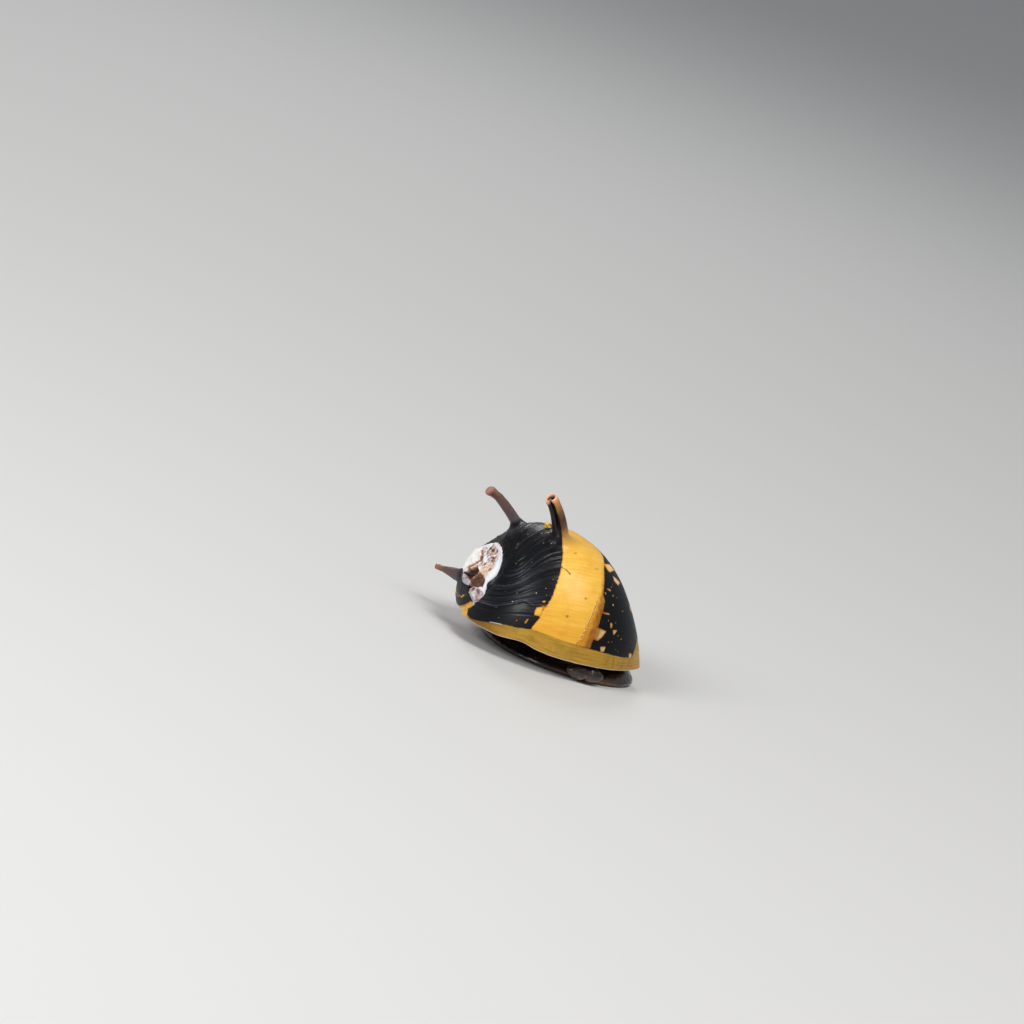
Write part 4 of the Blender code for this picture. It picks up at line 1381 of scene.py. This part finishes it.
def skin_wrinkle(place):
    """Height of the skin's fine folds in millimetres, with a groove down the snout's middle."""
    on_snout = bump_at((place - SNOUT_MIDDLE).length, 1.1 * MM)
    folds = 0.03 * sin(place.y / MM * 19 + 2 * wander(22, 900 * place.x))
    groove = 0.22 * bump_at(place.x - SNOUT_MIDDLE.x, 0.16 * MM)
    return 0.025 * wander(21, 3000 * place.x, 3000 * place.y, 3000 * place.z) + on_snout * (folds - groove)


def edge_glow(place):
    """1 where an amber glow is painted at the foot's thin edge, low down and towards the right, and 0
    elsewhere.
    """
    across, along = place.x - FOOT_MIDDLE.x, place.y - FOOT_MIDDLE.y
    rim = max(abs(across) / FOOT_HALF_WIDTH, abs(along) / FOOT_HALF_LENGTH)
    low = 1 - ramp(place.z, 0.25 * MM, 0.6 * MM)
    return ramp(rim, 0.86, 1.02) * low * ramp(place.x, -4 * MM, 5 * MM)


skin = finish_piece("skin", make_skin(), skin_finish(), FLESH_NODES)
melt(skin, SKIN_VOXEL, 6)
edge_glow_layer = skin.data.attributes.new("thin", "FLOAT", "POINT")
wrinkled = []
for vert, value in zip(skin.data.vertices, edge_glow_layer.data):
    value.value = edge_glow(vert.co)
    place = vert.co + vert.normal * skin_wrinkle(vert.co) * MM
    wrinkled.append((place.x, place.y, max(place.z, 0)))
for vert, place in zip(skin.data.vertices, wrinkled):
    vert.co = place
print("melted skin has", len(skin.data.polygons), "faces")

# %% [markdown]
# ## Eyes and lid
#
# The eyes are tiny shiny beads at the ends of their stalks. The lid is the limy plate with which
# the snail closes its shell; while it crawls, it lies on the tail. Both are small, so simple
# forms with good gloss are enough, and the lid gets the spiral lines in which it grew.

# %% Eyes
EYE_STOPS = [(0.3, (0.0072, 0.0072, 0.0096)), (0.7, (0.012, 0.012, 0.016))]
EYE_SIZE = 1.02                     # of the solid eye

eye_material = cloudy_finish("eye_black", 0.06, 2500, 3, EYE_STOPS, Coat_Weight=1.0, Coat_Roughness=0.03)
for name in ("eye_left", "eye_right"):
    low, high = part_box(name)
    form = bmesh.new()
    add_ball(form, (low + high) / 2, (high - low) / 2 * EYE_SIZE)
    finish_piece(name.replace("eye", "eye_bead"), form, eye_material, [name])

# %% Lid
LID_STOPS = [(0.3, (0.102, 0.045, 0.0252)), (0.7, (0.17, 0.075, 0.042))]
LID_FULLNESS = 2.5
LID_SPIRAL = 0.022                  # height of its growth lines in millimetres


def make_lid():
    """A crescent plate with spiral growth lines, in the box of the solid lid."""
    low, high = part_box("operculum")
    form = new_grid(120, 40)[0]
    for vert in form.verts:
        around = pi * (vert.co.x + 1) / 2
        share = (vert.co.y + 1) / 2
        x, y = cos(around), sin(around)
        edge = (abs(x) ** LID_FULLNESS + abs(y) ** LID_FULLNESS) ** (-1 / LID_FULLNESS) * share
        x, y = x * edge, y * edge
        rise = (1 - share ** 3) * 0.18 - 0.06 * ramp(share, 0.85, 1) - 0.20
        rise += LID_SPIRAL * sin(46 * share + 3 * around) * ramp(share, 0.1, 0.3)
        rise += 0.02 * wander(30, 9 * x, 9 * y) - 0.05 * bump_at(share - 0.86, 0.02)
        vert.co = Vector((between(low.x, high.x, (x + 1) / 2), between(low.y, high.y, y), high.z + rise * MM))
    weld(form)
    turn_faces(form, lambda place: Vector((0, 0, 1)))
    return form


lid_material = cloudy_finish("lid_horn", 0.35, 2500, 3, LID_STOPS, Coat_Weight=0.3, Coat_Roughness=0.2)
finish_piece("lid", make_lid(), lid_material, ["operculum"], outwards=False, wall=0.3 * MM)

# %% [markdown]
# ## Floor and light
#
# The snail stands on a plain pale floor. Soft round lamps light it: a large one above and to the
# right for the long highlight on the golden band, one at the left for the ribs, and a weak one
# behind that draws the outline. They are small in metres, because the snail is.

# %% Floor and lamps
FLOOR_COLOUR = (0.64, 0.635, 0.62)
SKY_COLOUR = (0.80, 0.84, 0.90, 1)
# Each lamp: place and size in metres, power in watts, colour
LAMPS = {
    "key_lamp": ((0.07, -0.15, 0.34), 0.20, 0.85, (1.0, 0.97, 0.92)),
    "left_lamp": ((-0.28, -0.12, 0.18), 0.16, 0.70, (0.95, 0.97, 1.0)),
    "back_lamp": ((0.05, 0.30, 0.22), 0.10, 0.22, (1.0, 1.0, 1.0)),
}


def make_floor():
    form = bmesh.new()
    bmesh.ops.create_grid(form, x_segments=1, y_segments=1, size=3)
    bmesh.ops.translate(form, vec=(0, 0, -0.02 * MM), verts=form.verts)
    mesh = bpy.data.meshes.new("floor")
    form.to_mesh(mesh)
    form.free()
    paint = Paint("floor_pale", 0.6)
    paint.give("Base Color", FLOOR_COLOUR)
    mesh.materials.append(paint.material)
    new_object("floor", mesh)


def make_lamp(name, place, size, power, colour):
    data = bpy.data.lights.new(name, "AREA")
    data.shape = "DISK"
    data.size = size
    data.energy = power
    data.color = colour
    lamp = new_object(name, data)
    lamp.location = place
    lamp.rotation_mode = "QUATERNION"
    lamp.rotation_quaternion = (Vector(place) - at(0, 0, 4)).to_track_quat("Z", "Y")


def make_world():
    world = bpy.data.worlds.new("studio")
    world.use_nodes = True
    sky = world.node_tree.nodes["Background"]
    sky.inputs["Color"].default_value = SKY_COLOUR
    sky.inputs["Strength"].default_value = 0.30
    bpy.context.scene.world = world
    bpy.context.scene.view_settings.view_transform = "Standard"


make_floor()
for name, lamp in LAMPS.items():
    make_lamp(name, *lamp)
make_world()
print("lamps:", ", ".join(LAMPS))

# %% [markdown]
# ## Finish
